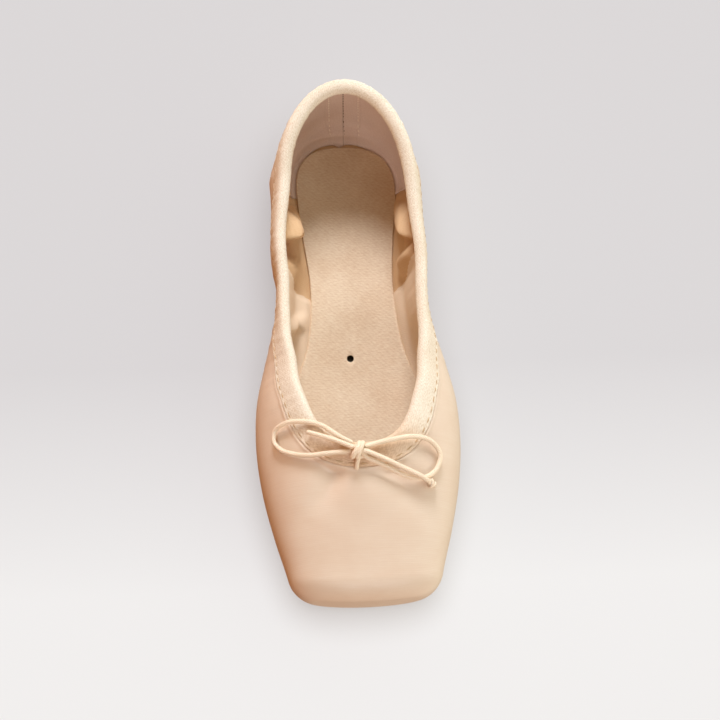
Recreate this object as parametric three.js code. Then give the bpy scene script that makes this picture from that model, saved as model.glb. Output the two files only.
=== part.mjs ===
// A pointe shoe: a hollow satin upper on a straight last, a narrow leather outsole, an insole,
// a drawstring casing round the collar and a bow of elastic cord at the throat.
// Millimetres, +Z up, toe towards -Y, heel towards +Y. The origin is on the floor, under the
// middle of the length. It stands on its outsole, unbent.
import * as THREE from "three";
import { mergeVertices } from "three/addons/utils/BufferGeometryUtils.js";

// ---- driving sizes ----
const LENGTH = 226; // platform to back of heel
const BOX_WALL = 2.6; // pasted layers round the toes
const QUARTER_WALL = 1.8; // satin and lining behind the box
const BOX_ENDS = 70; // distance from the platform where the wall starts to thin
const QUARTER_STARTS = 115; // and where it has thinned
const OUTSOLE_THICK = 3;
const INSOLE_THICK = 2;
const GAP = 0.3; // between pieces that touch
const CORD = 2; // diameter of the elastic drawstring

// ---- the last, section by section ----
// s: distance from the platform. half: half width at the widest line. crown: top of the closed
// form. widest: height of the widest line over the seat. seat: underside over the floor.
// round: how square the upper half is, 2 being an ellipse.
const SECTIONS = [
  { s: 0, half: 29.5, crown: 34.0, widest: 12.5, seat: 7.6, round: 2.8 },
  { s: 12, half: 32.0, crown: 37.0, widest: 13.5, seat: 6.2, round: 2.6 },
  { s: 30, half: 36.9, crown: 41.8, widest: 14.5, seat: 4.9, round: 2.5 },
  { s: 50, half: 41.2, crown: 46.6, widest: 15.5, seat: 4.0, round: 2.35 },
  { s: 72, half: 43.1, crown: 50.0, widest: 17.0, seat: 3.2, round: 2.2 },
  { s: 88, half: 42.0, crown: 50.2, widest: 18.5, seat: 3.2, round: 2.15 },
  { s: 102, half: 38.6, crown: 48.8, widest: 20.0, seat: 3.4, round: 2.15 },
  { s: 118, half: 33.8, crown: 50.0, widest: 21.5, seat: 4.4, round: 2.4 },
  { s: 134, half: 32.0, crown: 50.8, widest: 22.0, seat: 5.8, round: 2.6 },
  { s: 155, half: 32.6, crown: 49.6, widest: 21.0, seat: 5.4, round: 2.6 },
  { s: 180, half: 32.4, crown: 51.5, widest: 20.0, seat: 3.6, round: 2.8 },
  { s: 205, half: 32.4, crown: 62.0, widest: 19.0, seat: 3.2, round: 3.0 },
  { s: LENGTH, half: 32.4, crown: 70.0, widest: 18.0, seat: 3.2, round: 3.0 },
];
const UNDER_SQUARE = 3.4; // superellipse power of the lower half
const HEEL_RUN = 46; // length over which the heel's plan rounds in
const TIP_ROUND = 8; // radius of the platform's upper edge
const TIP_BOW = 2.5; // how far the platform curves back from its middle to its sides
const TIP_UNDERCUT = 0.07; // its slope back under the toe
const TIP_TOP = SECTIONS[0].crown - TIP_ROUND; // top of the platform's flat
const HEEL_TUCK = 11; // radius of the heel's lower edge
const HEEL_LEAN = 3.5; // how far the back leans in at the top
const LEAN_FROM = 20; // height where that lean starts
const LEAN_RISE = 34; // height over which it grows
const LEAN_START = 150; // how far along the shoe the heel's tuck and lean begin
const LEAN_FULL = LENGTH - 15; // and where they are whole

// Height of the collar edge. Ahead of the throat it lies above the crown, so the opening ends
// where the two cross.
const COLLAR = [
  { s: 40, height: 52.0 },
  { s: 60, height: 48.4 },
  { s: 71, height: 47.3 },
  { s: 82, height: 46.0 },
  { s: 100, height: 42.4 },
  { s: 120, height: 40.2 },
  { s: 145, height: 39.4 },
  { s: 175, height: 41.6 },
  { s: 205, height: 49.5 },
  { s: LENGTH, height: 54.0 },
];

// Half widths of the two soles, and where their ends close. The insole is laid a little to one side
// at the heel: middle is how far.
const OUTSOLE = [
  { s: 14, half: 17.0 },
  { s: 32, half: 23.5 },
  { s: 62, half: 27.0 },
  { s: 92, half: 24.0 },
  { s: 122, half: 16.5 },
  { s: 146, half: 15.0 },
  { s: 178, half: 20.5 },
  { s: 205, half: 21.5 },
  { s: 219, half: 21.5 },
];
const INSOLE = [
  { s: 12, half: 21.0, middle: 0 },
  { s: 34, half: 30.0, middle: 0 },
  { s: 68, half: 33.5, middle: 0.3 },
  { s: 92, half: 29.0, middle: 1.1 },
  { s: 118, half: 20.6, middle: 1.7 },
  { s: 146, half: 18.2, middle: 1.6 },
  { s: 168, half: 19.9, middle: 1.3 },
  { s: 190, half: 22.0, middle: 1.6 },
  { s: 203, half: 21.6, middle: 1.0 },
  { s: 214, half: 21.4, middle: 0.4 },
];
const SOLE_END_RUN = 20; // length over which a sole's heel end rounds in
const SOLE_END_SQUARE = 2.3; // how square the heel end is, 2 being an ellipse
const SOLE_TIP_RUN = 10; // length over which its toe end does
const SOLE_TIP_SQUARE = 2.6; // the same for the toe end
const MARGIN_OVERLAP = 7; // how far the upper's turned edge reaches in over the outsole

// ---- how the surface is walked ----
// Rays leave a spine inside the last: straight out on both sides between two pivots, and in a
// half circle round each pivot at the toe and the heel.
const TOE_PIVOT = 84;
const HEEL_PIVOT = LENGTH - 34;
const SPINE_HEIGHT = 22;
const TOE_TURN = 62; // sets how closely the rays stand in the toe's half circle
const HEEL_TURN = 36; // the same at the heel
const COLUMNS = 80;
const UPPER_ROWS = 15;
const LEAF_ROWS = 3; // rows of the upper where the casing's leaf ends, half way up it and at the edge
const STEEPEST = 1.5; // radians by which a ray may be raised or lowered
const FINE_STEPS = 180; // steps used to measure along one column
const TURN_WEIGHT = 9; // a radian of turn counts as this many millimetres when rows are placed

// ---- drawstring casing ----
const CASING_OUT = 9; // leaf outside
const CASING_IN = 7; // leaf inside
const CASING_THICK = 0.9;
const CASING_CREST = 1.6; // how far it stands over the edge
const CREST_SHOULDER = [0.7, 0.6]; // its fold's shoulders: share of the crest, and of the thickness
const CASING_GAP = 0.5; // clear of the upper's facets on both sides

// ---- bow ----
// Routes chosen by hand: x, distance from the platform, height. Each starts at the knot, and the
// loops come back to it.
const BOW = {
  bow_loop_left: [
    [-5.1, 60.2, 51.4], [-9.3, 62.8, 51.4], [-16.9, 68.4, 50.4], [-25.8, 71, 48.3],
    [-31.8, 71.1, 45.1], [-35.6, 69, 41.2], [-36.1, 65.6, 40.3], [-33.5, 61.3, 41.8],
    [-28.4, 58.3, 44.5], [-21.3, 56.6, 47.6], [-15.1, 56.6, 49.4], [-10.1, 56.6, 50.3],
    [-5.9, 56.4, 50.9],
  ],
  bow_loop_right: [
    [0.7, 58.2, 51.7], [4.7, 59.4, 51.4], [11.8, 60.9, 51.1], [21.5, 62.5, 49],
    [28.2, 61.2, 45.9], [31.9, 56.4, 42.5], [29.8, 50.1, 42.3], [24.6, 46.5, 43.9],
    [20, 46.1, 45.4], [14.8, 47.6, 47], [8.3, 50.7, 49.1], [4.2, 52.4, 50.2],
    [1, 53.9, 51],
  ],
  bow_end_left: [
    [-5, 57.9, 53.3], [-8.5, 59.7, 52.9], [-12.5, 61.7, 51.9], [-17, 63.7, 50.9],
    [-22, 65.8, 49.4],
  ],
  bow_end_right: [
    [0.5, 55.9, 53], [4.1, 54.6, 52.4], [8.7, 52.7, 51.3], [13.8, 50.4, 49.7],
    [18.5, 48.3, 48.3], [22.7, 46.4, 47.1], [25.5, 45, 45.1], [27.6, 43.9, 42.6],
  ],
};
const KNOT_AT = [-2.3, 56.8, 51.9];
const KNOT_RADII = [2.1, 3.5, 2.4];
const CORD_SIDES = 8;

// ---- small helpers ----
const smooth = (from, to, x) => {
  const t = Math.min(Math.max((x - from) / (to - from), 0), 1);
  return t * t * (3 - 2 * t);
};
const mix = (a, b, t) => a + (b - a) * t;

/** A smooth curve through one column of a table, with weighted slopes at its rows. */
function along(table, column, s) {
  const n = table.length;
  const step = (i) => table[i + 1].s - table[i].s;
  const rise = (i) => (table[i + 1][column] - table[i][column]) / step(i);
  const slope = (i) => {
    if (i === 0) return rise(0);
    if (i === n - 1) return rise(n - 2);
    return (rise(i - 1) * step(i) + rise(i) * step(i - 1)) / (step(i) + step(i - 1));
  };
  let i = 0;
  while (i < n - 2 && s >= table[i + 1].s) i++;
  const h = step(i);
  const t = (s - table[i].s) / h;
  const start = table[i][column] * (1 + 2 * t) * (1 - t) ** 2 + slope(i) * h * t * (1 - t) ** 2;
  const end = table[i + 1][column] * t * t * (3 - 2 * t) + slope(i + 1) * h * t * t * (t - 1);
  return start + end;
}

/** The first place between low and high where test turns false, by halving. */
function edgeOf(test, low, high, rounds = 32) {
  for (let i = 0; i < rounds; i++) {
    const middle = (low + high) / 2;
    if (test(middle)) low = middle;
    else high = middle;
  }
  return (low + high) / 2;
}

// ---- the last ----
const SEAT_AT_HEEL = OUTSOLE_THICK + GAP;
const wallAt = (s) => mix(BOX_WALL, QUARTER_WALL, smooth(BOX_ENDS, QUARTER_STARTS, s));

/** How far the heel is drawn in at a height: tucked under at the sole and leaning in above. */
function heelDrawIn(z) {
  const below = Math.min(Math.max(HEEL_TUCK - (z - SEAT_AT_HEEL), 0), HEEL_TUCK);
  const tuck = HEEL_TUCK - Math.sqrt(HEEL_TUCK ** 2 - below ** 2);
  const lean = HEEL_LEAN * Math.min(Math.max((z - LEAN_FROM) / LEAN_RISE, 0), 2) ** 2;
  return tuck + lean;
}

/** True inside the closed last: each section is a superellipse, squarer below than above. */
function insideLast(x, s, z) {
  const q = s + heelDrawIn(z) * smooth(LEAN_START, LEAN_FULL, s);
  if (q > LENGTH) return false;
  const k = Math.max((q - (LENGTH - HEEL_RUN)) / HEEL_RUN, 0);
  const front = s - TIP_BOW * (x / SECTIONS[0].half) ** 2 - TIP_UNDERCUT * Math.max(TIP_TOP - z, 0);
  if (front < 0) return false;
  const near = Math.max(TIP_ROUND - front, 0);
  const inset = TIP_ROUND - Math.sqrt(TIP_ROUND ** 2 - near ** 2);
  const half = along(SECTIONS, "half", q) * Math.sqrt(Math.max(1 - k * k, 1e-9)) - inset;
  const seat = along(SECTIONS, "seat", q);
  const middle = seat + along(SECTIONS, "widest", q);
  const top = along(SECTIONS, "crown", q) - inset;
  const bottom = seat + inset / 2;
  const up = z > middle;
  const power = up ? along(SECTIONS, "round", q) : UNDER_SQUARE;
  const rise = up ? (z - middle) / (top - middle) : (middle - z) / (middle - bottom);
  return Math.abs(x / half) ** power + rise ** power <= 1;
}

/** Height of the last's underside at a place in plan. */
const underside = (x, s) =>
  SPINE_HEIGHT - edgeOf((d) => insideLast(x, s, SPINE_HEIGHT - d), 0, SPINE_HEIGHT);

/** Rays from heel centre round the right side, the toe and the left side. */
function rays(count) {
  const straight = HEEL_PIVOT - TOE_PIVOT;
  const heelQuarter = (HEEL_TURN * Math.PI) / 2;
  const toeQuarter = (TOE_TURN * Math.PI) / 2;
  const total = 2 * (straight + heelQuarter + toeQuarter);
  return Array.from({ length: count }, (_, i) => {
    const at = (i / count) * total;
    const sign = at > total / 2 ? -1 : 1;
    const walked = Math.min(at, total - at);
    const heelTurn = Math.min(walked / heelQuarter, 1);
    const toeTurn = Math.max((walked - heelQuarter - straight) / toeQuarter, 0);
    const pivot = HEEL_PIVOT - Math.min(Math.max(walked - heelQuarter, 0), straight);
    const angle = ((heelTurn + toeTurn) * Math.PI) / 2;
    return { pivot, out: sign * Math.sin(angle), back: Math.cos(angle) };
  });
}

/** The point of the last's surface on a ray raised by an angle. */
function lastPoint(ray, angle) {
  const at = (r) => [
    ray.out * r * Math.cos(angle),
    ray.pivot + ray.back * r * Math.cos(angle),
    SPINE_HEIGHT + r * Math.sin(angle),
  ];
  return new THREE.Vector3(...at(edgeOf((r) => insideLast(...at(r)), 0, LENGTH)));
}

/** How far to the side of the shoe's middle line a sole lies. */
const middleAt = (table, s) => ("middle" in table[0] ? along(table, "middle", s) : 0);

/** How far a ray runs in plan before it leaves a sole's outline. */
function soleReach(table, ray) {
  const first = table[0].s;
  const last = table[table.length - 1].s;
  const holds = (d) => {
    const s = ray.pivot + ray.back * d;
    if (s <= first || s >= last) return false;
    const heel = Math.max((s - (last - SOLE_END_RUN)) / SOLE_END_RUN, 0);
    const toe = Math.max((first + SOLE_TIP_RUN - s) / SOLE_TIP_RUN, 0);
    const tip = (1 - toe ** SOLE_TIP_SQUARE) ** (1 / SOLE_TIP_SQUARE);
    const end = (1 - heel ** SOLE_END_SQUARE) ** (1 / SOLE_END_SQUARE);
    return Math.abs(ray.out * d - middleAt(table, s)) < along(table, "half", s) * end * tip;
  };
  return edgeOf(holds, 0, LENGTH);
}

/** One column of the upper from its turned edge up to the collar, as equally useful rows. */
function upperColumn(ray) {
  const reach = soleReach(OUTSOLE, ray) - MARGIN_OVERLAP;
  const margin = -edgeOf((a) => {
    const p = lastPoint(ray, -a);
    return Math.hypot(p.x, p.y - ray.pivot) > reach;
  }, 0, STEEPEST, 20);
  const collar = edgeOf((a) => {
    const p = lastPoint(ray, a);
    return p.z < along(COLLAR, "height", p.y);
  }, 0, STEEPEST, 24);
  const fine = [];
  for (let i = 0; i <= FINE_STEPS; i++) {
    fine.push(lastPoint(ray, mix(margin, collar, i / FINE_STEPS)));
  }
  const run = [0];
  const weight = [0];
  for (let i = 1; i <= FINE_STEPS; i++) {
    const step = fine[i].clone().sub(fine[i - 1]);
    const before = fine[Math.max(i - 1, 1)].clone().sub(fine[Math.max(i - 2, 0)]);
    run.push(run[i - 1] + step.length());
    weight.push(weight[i - 1] + step.length() + TURN_WEIGHT * step.angleTo(before));
  }
  const pick = (scale, value) => {
    let i = 0;
    while (i < FINE_STEPS - 1 && scale[i + 1] < value) i++;
    const t = (value - scale[i]) / Math.max(scale[i + 1] - scale[i], 1e-9);
    return { point: fine[i].clone().lerp(fine[i + 1], t), at: i + t };
  };
  const full = run[FINE_STEPS];
  const leafEnd = pick(run, full - CASING_OUT);
  const below = mix(weight[Math.floor(leafEnd.at)], weight[Math.ceil(leafEnd.at)], leafEnd.at % 1);
  const free = UPPER_ROWS - LEAF_ROWS;
  const rows = Array.from({ length: free }, (_, j) => pick(weight, (below * j) / free).point);
  return [...rows, leafEnd.point, pick(run, full - CASING_OUT / 2).point, fine[FINE_STEPS]];
}

/** Outward normals of a grid that closes round in its first index. */
function gridNormals(grid) {
  const n = grid.length;
  return grid.map((column, i) =>
    column.map((_, j) => {
      const ahead = grid[(i + 1) % n][j].clone().sub(grid[(i + n - 1) % n][j]);
      const up = column[Math.min(j + 1, column.length - 1)].clone().sub(column[Math.max(j - 1, 0)]);
      return ahead.cross(up).normalize().negate();
    }),
  );
}

// ---- solids ----
/** Millimetre place of a point given by distance from the platform. */
const placed = (p) => [p.x, p.y - LENGTH / 2, p.z];

/** A closed body from loops of points, one loop per column; wrap joins the last row to the first. */
function bodyOf(columns, wrap) {
  const rows = columns[0].length;
  const positions = columns.flatMap((column) => column.flatMap(placed));
  const index = [];
  const last = wrap ? rows : rows - 1;
  for (let i = 0; i < columns.length; i++) {
    for (let j = 0; j < last; j++) {
      const [a, b] = [i * rows, ((i + 1) % columns.length) * rows];
      const [k, l] = [j, (j + 1) % rows];
      index.push(a + k, b + l, b + k, a + k, a + l, b + l);
    }
  }
  const geometry = new THREE.BufferGeometry();
  geometry.setAttribute("position", new THREE.Float32BufferAttribute(positions, 3));
  geometry.setIndex(index);
  const merged = mergeVertices(geometry, 1e-3);
  const kept = [];
  for (let t = 0; t < merged.index.count; t += 3) {
    const [a, b, c] = [0, 1, 2].map((k) => merged.index.getX(t + k));
    if (a !== b && b !== c && c !== a) kept.push(a, b, c);
  }
  merged.setIndex(kept);
  merged.computeVertexNormals();
  return merged;
}

/** The upper: the outer surface, over the collar edge, down the inside and back at the margin. */
function upperGeometry(outer, inner) {
  return bodyOf(outer.map((column, i) => [...column, ...inner[i].toReversed()]), true);
}

/** The casing: a thin section folded over the collar edge, carried round it. */
function casingGeometry(outer, normals) {
  const top = outer[0].length - 1;
  const columns = outer.map((column, i) => {
    const edge = column[top];
    const wall = wallAt(edge.y);
    const upward = edge.clone().sub(column[top - 1]).normalize();
    // drop: distance below the edge, rows shared with the upper. out: along the normal.
    const at = (drop, out) => {
      if (drop <= 0) {
        return edge.clone().addScaledVector(upward, -drop).addScaledVector(normals[i][top], out);
      }
      const half = CASING_OUT / 2;
      const row = drop > half ? top - 1 : top;
      const t = (drop - (top - row) * half) / half;
      const point = column[row].clone().lerp(column[row - 1], t);
      return point.addScaledVector(normals[i][row].clone().lerp(normals[i][row - 1], t).normalize(), out);
    };
    const near = CASING_GAP;
    const far = CASING_GAP + CASING_THICK;
    const half = CASING_OUT / 2;
    const shoulder = -CREST_SHOULDER[0] * CASING_CREST;
    const shoulderOut = CREST_SHOULDER[1] * far;
    return [
      at(CASING_OUT, near), at(CASING_OUT, far), at(half, far), at(0, far),
      at(shoulder, shoulderOut), at(-CASING_CREST, -wall / 2), at(shoulder, -wall - shoulderOut),
      at(0, -wall - far), at(half, -wall - far), at(CASING_IN, -wall - far),
      at(CASING_IN, -wall - near), at(half, -wall - near), at(0, -wall - near),
      at(-near, -wall - near), at(-near, near), at(0, near), at(half, near),
    ];
  });
  return bodyOf(columns, true);
}

/** A sole: rings from the middle of its top out to its edge and back along its underside. */
function soleGeometry(table, topRings, bottomRings, topHeight, bottomHeight) {
  const columns = rays(COLUMNS).map((ray) => {
    const reach = soleReach(table, ray);
    const ring = (distance, height) => {
      const [x, s] = [ray.out * distance, ray.pivot + ray.back * distance];
      return new THREE.Vector3(x, s, height(x, s, distance, ray));
    };
    return [
      ...bottomRings(reach, ray).map((d) => ring(d, bottomHeight)),
      ...topRings(reach, ray).toReversed().map((d) => ring(d, topHeight)),
    ];
  });
  return bodyOf(columns, false);
}

const SOLE_RINGS = [0, 0.4, 0.7, 0.9, 1]; // rings of a sole's face, as shares of its reach
const MARGIN_RISE = [3 * GAP, 2 * GAP]; // the insole's step over the margin: where it starts and ends

/** The outsole follows the upper above and is flat on the floor under the ball and the heel. */
function outsoleGeometry() {
  const rings = (reach) => SOLE_RINGS.map((f) => f * reach);
  const top = (x, s) => underside(x, s) - GAP;
  const bottom = (x, s) => Math.max(along(SECTIONS, "seat", s) - GAP - OUTSOLE_THICK, 0);
  return soleGeometry(OUTSOLE, rings, rings, top, bottom);
}

/** The insole lies on the margin and fills down to the outsole inside it. */
function insoleGeometry() {
  const marginEdge = (ray) => soleReach(OUTSOLE, ray) - MARGIN_OVERLAP;
  const onMargin = (x, s) => underside(x, s) + wallAt(s) + 1.5 * GAP;
  const stepAt = mix(...MARGIN_RISE, 0.5);
  const bottom = (x, s, d, ray) => {
    return d < marginEdge(ray) - stepAt ? underside(x, s) : onMargin(x, s);
  };
  const topRings = (reach) => SOLE_RINGS.map((f) => f * reach);
  const bottomRings = (reach, ray) => {
    const edge = marginEdge(ray);
    return [0, edge / 2, ...MARGIN_RISE.map((d) => edge - d), mix(edge, reach, 0.6), reach];
  };
  return soleGeometry(INSOLE, topRings, bottomRings, (x, s) => onMargin(x, s) + INSOLE_THICK, bottom);
}

/** A plain cord along a route chosen by hand: x, distance from the platform, height. */
function cordGeometry(route) {
  const points = route.map(([x, s, z]) => new THREE.Vector3(x, s - LENGTH / 2, z));
  const path = new THREE.CatmullRomCurve3(points, false, "centripetal");
  const round = new THREE.Path().absarc(0, 0, CORD / 2, 0, 2 * Math.PI);
  const section = new THREE.Shape(round.getPoints(CORD_SIDES).slice(0, CORD_SIDES));
  const steps = Math.ceil(path.getLength() / (2 * CORD));
  return new THREE.ExtrudeGeometry(section, { steps, extrudePath: path, bevelEnabled: false });
}

/** The knot: a short egg of wound cord, lying across the throat. */
function knotGeometry() {
  const [x, s, z] = KNOT_AT;
  return new THREE.SphereGeometry(1, 14, 10).scale(...KNOT_RADII).translate(x, s - LENGTH / 2, z);
}

// ---- assembly ----
const COLOURS = {
  satin: { color: "#ecceb4", roughness: 0.45, metalness: 0 },
  tape: { color: "#efe3cf", roughness: 0.85, metalness: 0 },
  leather: { color: "#c9a078", roughness: 0.7, metalness: 0 },
  insole: { color: "#e2c19c", roughness: 0.9, metalness: 0 },
  elastic: { color: "#f3d9b8", roughness: 0.8, metalness: 0 },
};

const shoe = new THREE.Group();

function add(name, geometry, finish) {
  const mesh = new THREE.Mesh(geometry, new THREE.MeshStandardMaterial(COLOURS[finish]));
  mesh.name = name;
  shoe.add(mesh);
}

const outer = rays(COLUMNS).map(upperColumn);
const normals = gridNormals(outer);
const inner = outer.map((column, i) =>
  column.map((p, j) => p.clone().addScaledVector(normals[i][j], -wallAt(p.y))),
);

add("upper", upperGeometry(outer, inner), "satin");
add("outsole", outsoleGeometry(), "leather");
add("insole", insoleGeometry(), "insole");
add("drawstring_casing", casingGeometry(outer, normals), "tape");
add("bow_knot", knotGeometry(), "elastic");
for (const [name, route] of Object.entries(BOW)) add(name, cordGeometry(route), "elastic");

export default shoe;
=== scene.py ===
"""A pointe shoe: peach satin over a straight last, a drawstring binding tape round the collar, a
bow of elastic cord at the throat, a brushed insole and a narrow leather outsole.

Lengths are in millimetres in the shoe's own measures until a mesh is made: x across, s from the
platform towards the heel, z over the floor. A surface is a grid of points, worked out as whole
arrays: the first index goes round the shoe, the second up it or in towards its middle.
"""
import math
from collections import namedtuple

import bmesh
import bpy
import numpy as np
from mathutils import Matrix, Vector


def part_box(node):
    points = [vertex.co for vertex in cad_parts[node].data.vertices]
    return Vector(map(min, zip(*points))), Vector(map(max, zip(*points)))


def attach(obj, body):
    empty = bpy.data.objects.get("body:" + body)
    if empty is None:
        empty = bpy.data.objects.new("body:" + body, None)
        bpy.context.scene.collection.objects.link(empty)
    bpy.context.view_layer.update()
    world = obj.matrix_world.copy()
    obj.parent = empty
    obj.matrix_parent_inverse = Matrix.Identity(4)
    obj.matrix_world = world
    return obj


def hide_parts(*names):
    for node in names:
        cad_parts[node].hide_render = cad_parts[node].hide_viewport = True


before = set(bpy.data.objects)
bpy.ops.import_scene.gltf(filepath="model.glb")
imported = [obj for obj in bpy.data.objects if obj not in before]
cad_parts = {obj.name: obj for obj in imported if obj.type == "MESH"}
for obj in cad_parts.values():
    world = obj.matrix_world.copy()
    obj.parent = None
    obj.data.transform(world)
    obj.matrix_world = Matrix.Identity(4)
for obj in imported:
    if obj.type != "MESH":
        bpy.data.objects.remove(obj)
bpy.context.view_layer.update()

MM = 0.001
TURN = 2 * math.pi
upper_low, upper_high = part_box("upper")
LENGTH = round((upper_high.y - upper_low.y) / MM)

# ---- driving sizes ----
BOX_WALL = 2.6  # pasted layers round the toes
QUARTER_WALL = 1.8  # satin and lining behind the box
OUTSOLE_THICK = 3.0
INSOLE_THICK = 2.0
GAP = 0.3  # between pieces that touch
FAR = 99.0  # further off than anything in reach
CORD = 2.0  # elastic drawstring
TAPE_OUT = 8.6  # binding tape's leaf outside, from the collar edge to its stitching
TAPE_SEAM = TAPE_OUT - 1.2  # its seam, from the collar edge
TAPE_IN = 7.0  # its leaf inside
STITCH = 3.9  # one stitch of the binding's seam

# ---- the camera ----
CAMERA_AT = (-55.3, -311.9, 865.7)  # in the row's frame
CAMERA_FALL = 70.0  # degrees it looks down
CAMERA_YAW = -2.1  # degrees the picture's level is turned from the shoe's x
CAMERA_SWING = 0.052  # how far it is swung to the right, as a tangent, to bring the shoe to the middle
CAMERA_LENS = 105.3


def unit(vectors):
    """Vectors at length 1."""
    return vectors / np.maximum(np.linalg.norm(vectors, axis=-1, keepdims=True), 1e-12)


def in_scene(name, data):
    """A new object that holds the data, linked into the scene."""
    thing = bpy.data.objects.new(name, data)
    bpy.context.scene.collection.objects.link(thing)
    return thing


def make_camera():
    """A camera at CAMERA_AT, its level line turned by the yaw, its sight falling and then swung."""
    yaw, fall = np.radians([CAMERA_YAW, CAMERA_FALL])
    level = np.array([math.cos(yaw), math.sin(yaw), 0])
    ahead = np.array([-math.sin(yaw) * math.cos(fall), math.cos(yaw) * math.cos(fall), -math.sin(fall)])
    sight = unit(ahead + CAMERA_SWING * level)
    right = unit(level - (level @ sight) * sight)
    up = np.cross(right, sight)
    data = bpy.data.cameras.new("camera")
    data.lens = CAMERA_LENS
    data.sensor_width = 36
    data.clip_start = 0.01
    camera = in_scene("camera", data)
    turned = Matrix([[*row] for row in np.stack([right, up, -sight], axis=1)])
    camera.matrix_world = Matrix.Translation(Vector(CAMERA_AT) * MM) @ turned.to_4x4()
    bpy.context.scene.camera = camera


# ---- meshes from grids ----
def mesh_of(name, grid, closed, coords=None):
    """A mesh from a grid of points in shoe measures. The first index closes round, except on a
    "sheet". The second closes round too on a "ring", and ends in a point at each end on "poles".
    A closed form's faces are turned outwards by the sign of the volume that they enclose. coords
    are the cloth's own coordinates, in millimetres."""
    number = np.arange(grid.shape[0] * grid.shape[1]).reshape(grid.shape[:2])
    points = grid.reshape(-1, 3).copy()
    if closed == "poles":
        points[number[0, [0, -1]]] = grid[:, [0, -1]].mean(0)
        number[:, [0, -1]] = number[0, [0, -1]]
    ahead, up = np.roll(number, -1, 0), np.roll(number, -1, 1)
    quads = np.stack([number, up, np.roll(up, -1, 0), ahead], -1)
    ends = np.zeros((0, 3), int)
    if closed == "sheet":
        quads = quads[:-1, :-1]
    if closed == "poles":
        ends = np.concatenate([quads[:, 0][:, [0, 1, 2]], quads[:, -2][:, [0, 1, 3]]])
        quads = quads[:, 1:-2]
    quads = quads.reshape(-1, 4)
    corner = points[quads] - points.mean(0)
    turned = np.cross(corner[:, 2] - corner[:, 0], corner[:, 3] - corner[:, 1])
    if closed != "sheet" and (corner.mean(1) * turned).sum() < 0:
        quads, ends = quads[:, ::-1], ends[:, ::-1]
    kept = np.unique(number)
    renumber = np.zeros(len(points), int)
    renumber[kept] = np.arange(len(kept))
    mesh = bpy.data.meshes.new(name)
    placed = (points[kept] - [0, LENGTH / 2, 0]) * MM
    mesh.from_pydata(placed.tolist(), [], renumber[quads].tolist() + renumber[ends].tolist())
    if coords is not None:
        flat = np.asarray(coords, np.float32).reshape(-1, 3)[kept]
        mesh.attributes.new("cloth", "FLOAT_VECTOR", "POINT").data.foreach_set("vector", flat.ravel())
    mesh.shade_smooth()
    mesh.update()
    return mesh


def piece(name, mesh, material, slot, *nodes):
    """An object of that mesh, riding on the shoe, standing for CAD nodes."""
    thing = in_scene(name, mesh)
    mesh.materials.append(material)
    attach(thing, "root")
    if nodes:
        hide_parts(*nodes)
    return thing


def joined(name, meshes):
    """One mesh out of several."""
    whole = bmesh.new()
    for mesh in meshes:
        whole.from_mesh(mesh)
        bpy.data.meshes.remove(mesh)
    mesh = bpy.data.meshes.new(name)
    whole.to_mesh(mesh)
    whole.free()
    mesh.shade_smooth()
    return mesh


# ---- the last ----
def table(columns, *rows):
    """A short table with named columns."""
    return np.array(list(rows), dtype=[(column, float) for column in columns.split()])


# s: distance from the platform. half: half width at the widest line. crown: top of the closed
# form. widest: height of the widest line over the seat. seat: underside over the floor.
# round: how square the upper half is, 2 being an ellipse.
LAST = table(
    "s half crown widest seat round",
    (0, 29.5, 34.0, 12.5, 7.6, 2.8),
    (12, 32.0, 37.0, 13.5, 6.2, 2.6),
    (30, 36.9, 41.8, 14.5, 4.9, 2.5),
    (50, 41.2, 46.6, 15.5, 4.0, 2.35),
    (72, 43.1, 50.0, 17.0, 3.2, 2.2),
    (88, 42.0, 50.2, 18.5, 3.2, 2.15),
    (102, 38.6, 48.8, 20.0, 3.4, 2.15),
    (118, 33.8, 50.0, 21.5, 4.4, 2.4),
    (134, 32.0, 50.8, 22.0, 5.8, 2.6),
    (155, 32.6, 49.6, 21.0, 5.4, 2.6),
    (180, 32.4, 51.5, 20.0, 3.6, 2.8),
    (205, 32.4, 62.0, 19.0, 3.2, 3.0),
    (LENGTH, 32.4, 70.0, 18.0, 3.2, 3.0),
)
COLLAR = table(
    "s height", (40, 52.0), (60, 48.4), (71, 47.3), (82, 46.0), (100, 42.4), (120, 40.2),
    (145, 39.4), (175, 41.6), (205, 49.5), (LENGTH, 54.0),
)
OUTSOLE = table(
    "s half middle", (14, 17.0, 0), (32, 23.5, 0), (62, 27.0, 0), (92, 24.0, 0), (122, 16.5, 0),
    (146, 15.0, 0), (178, 20.5, 0), (205, 21.5, 0), (219, 21.5, 0),
)
INSOLE = table(
    "s half middle", (12, 21.0, 0), (34, 30.0, 0), (68, 33.5, 0.3), (92, 29.0, 1.1), (118, 20.6, 1.7),
    (146, 18.2, 1.6), (168, 19.9, 1.3), (190, 22.0, 1.6), (203, 21.6, 1.0), (214, 21.4, 0.4),
)
UNDER_SQUARE = 3.4  # superellipse power of the lower half
HEEL_RUN = 46.0  # length over which the heel's plan rounds in
TIP_ROUND = 8.0  # radius of the platform's upper edge
TIP_BOW = 2.5  # how far the platform curves back from its middle to its sides
TIP_UNDERCUT = 0.07  # its slope back under the toe
TIP_TOP = LAST["crown"][0] - TIP_ROUND
HEEL_TUCK = 11.0  # radius of the heel's lower edge
HEEL_LEAN = 3.5  # how far the back leans in at the top
LEAN_FROM = 20.0  # height at which that begins
LEAN_RISE = 34.0  # and how far above it the whole lean is reached
LEAN_START = 150.0  # how far along the shoe the heel's tuck and lean begin
LEAN_FULL = LENGTH - 15.0  # and where they are whole
SOLE_END_RUN = 20.0  # length over which a sole's heel end rounds in
SOLE_END_SQUARE = 2.3  # superellipse power of that end
SOLE_TIP_RUN = 10.0  # the same for its toe end
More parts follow.
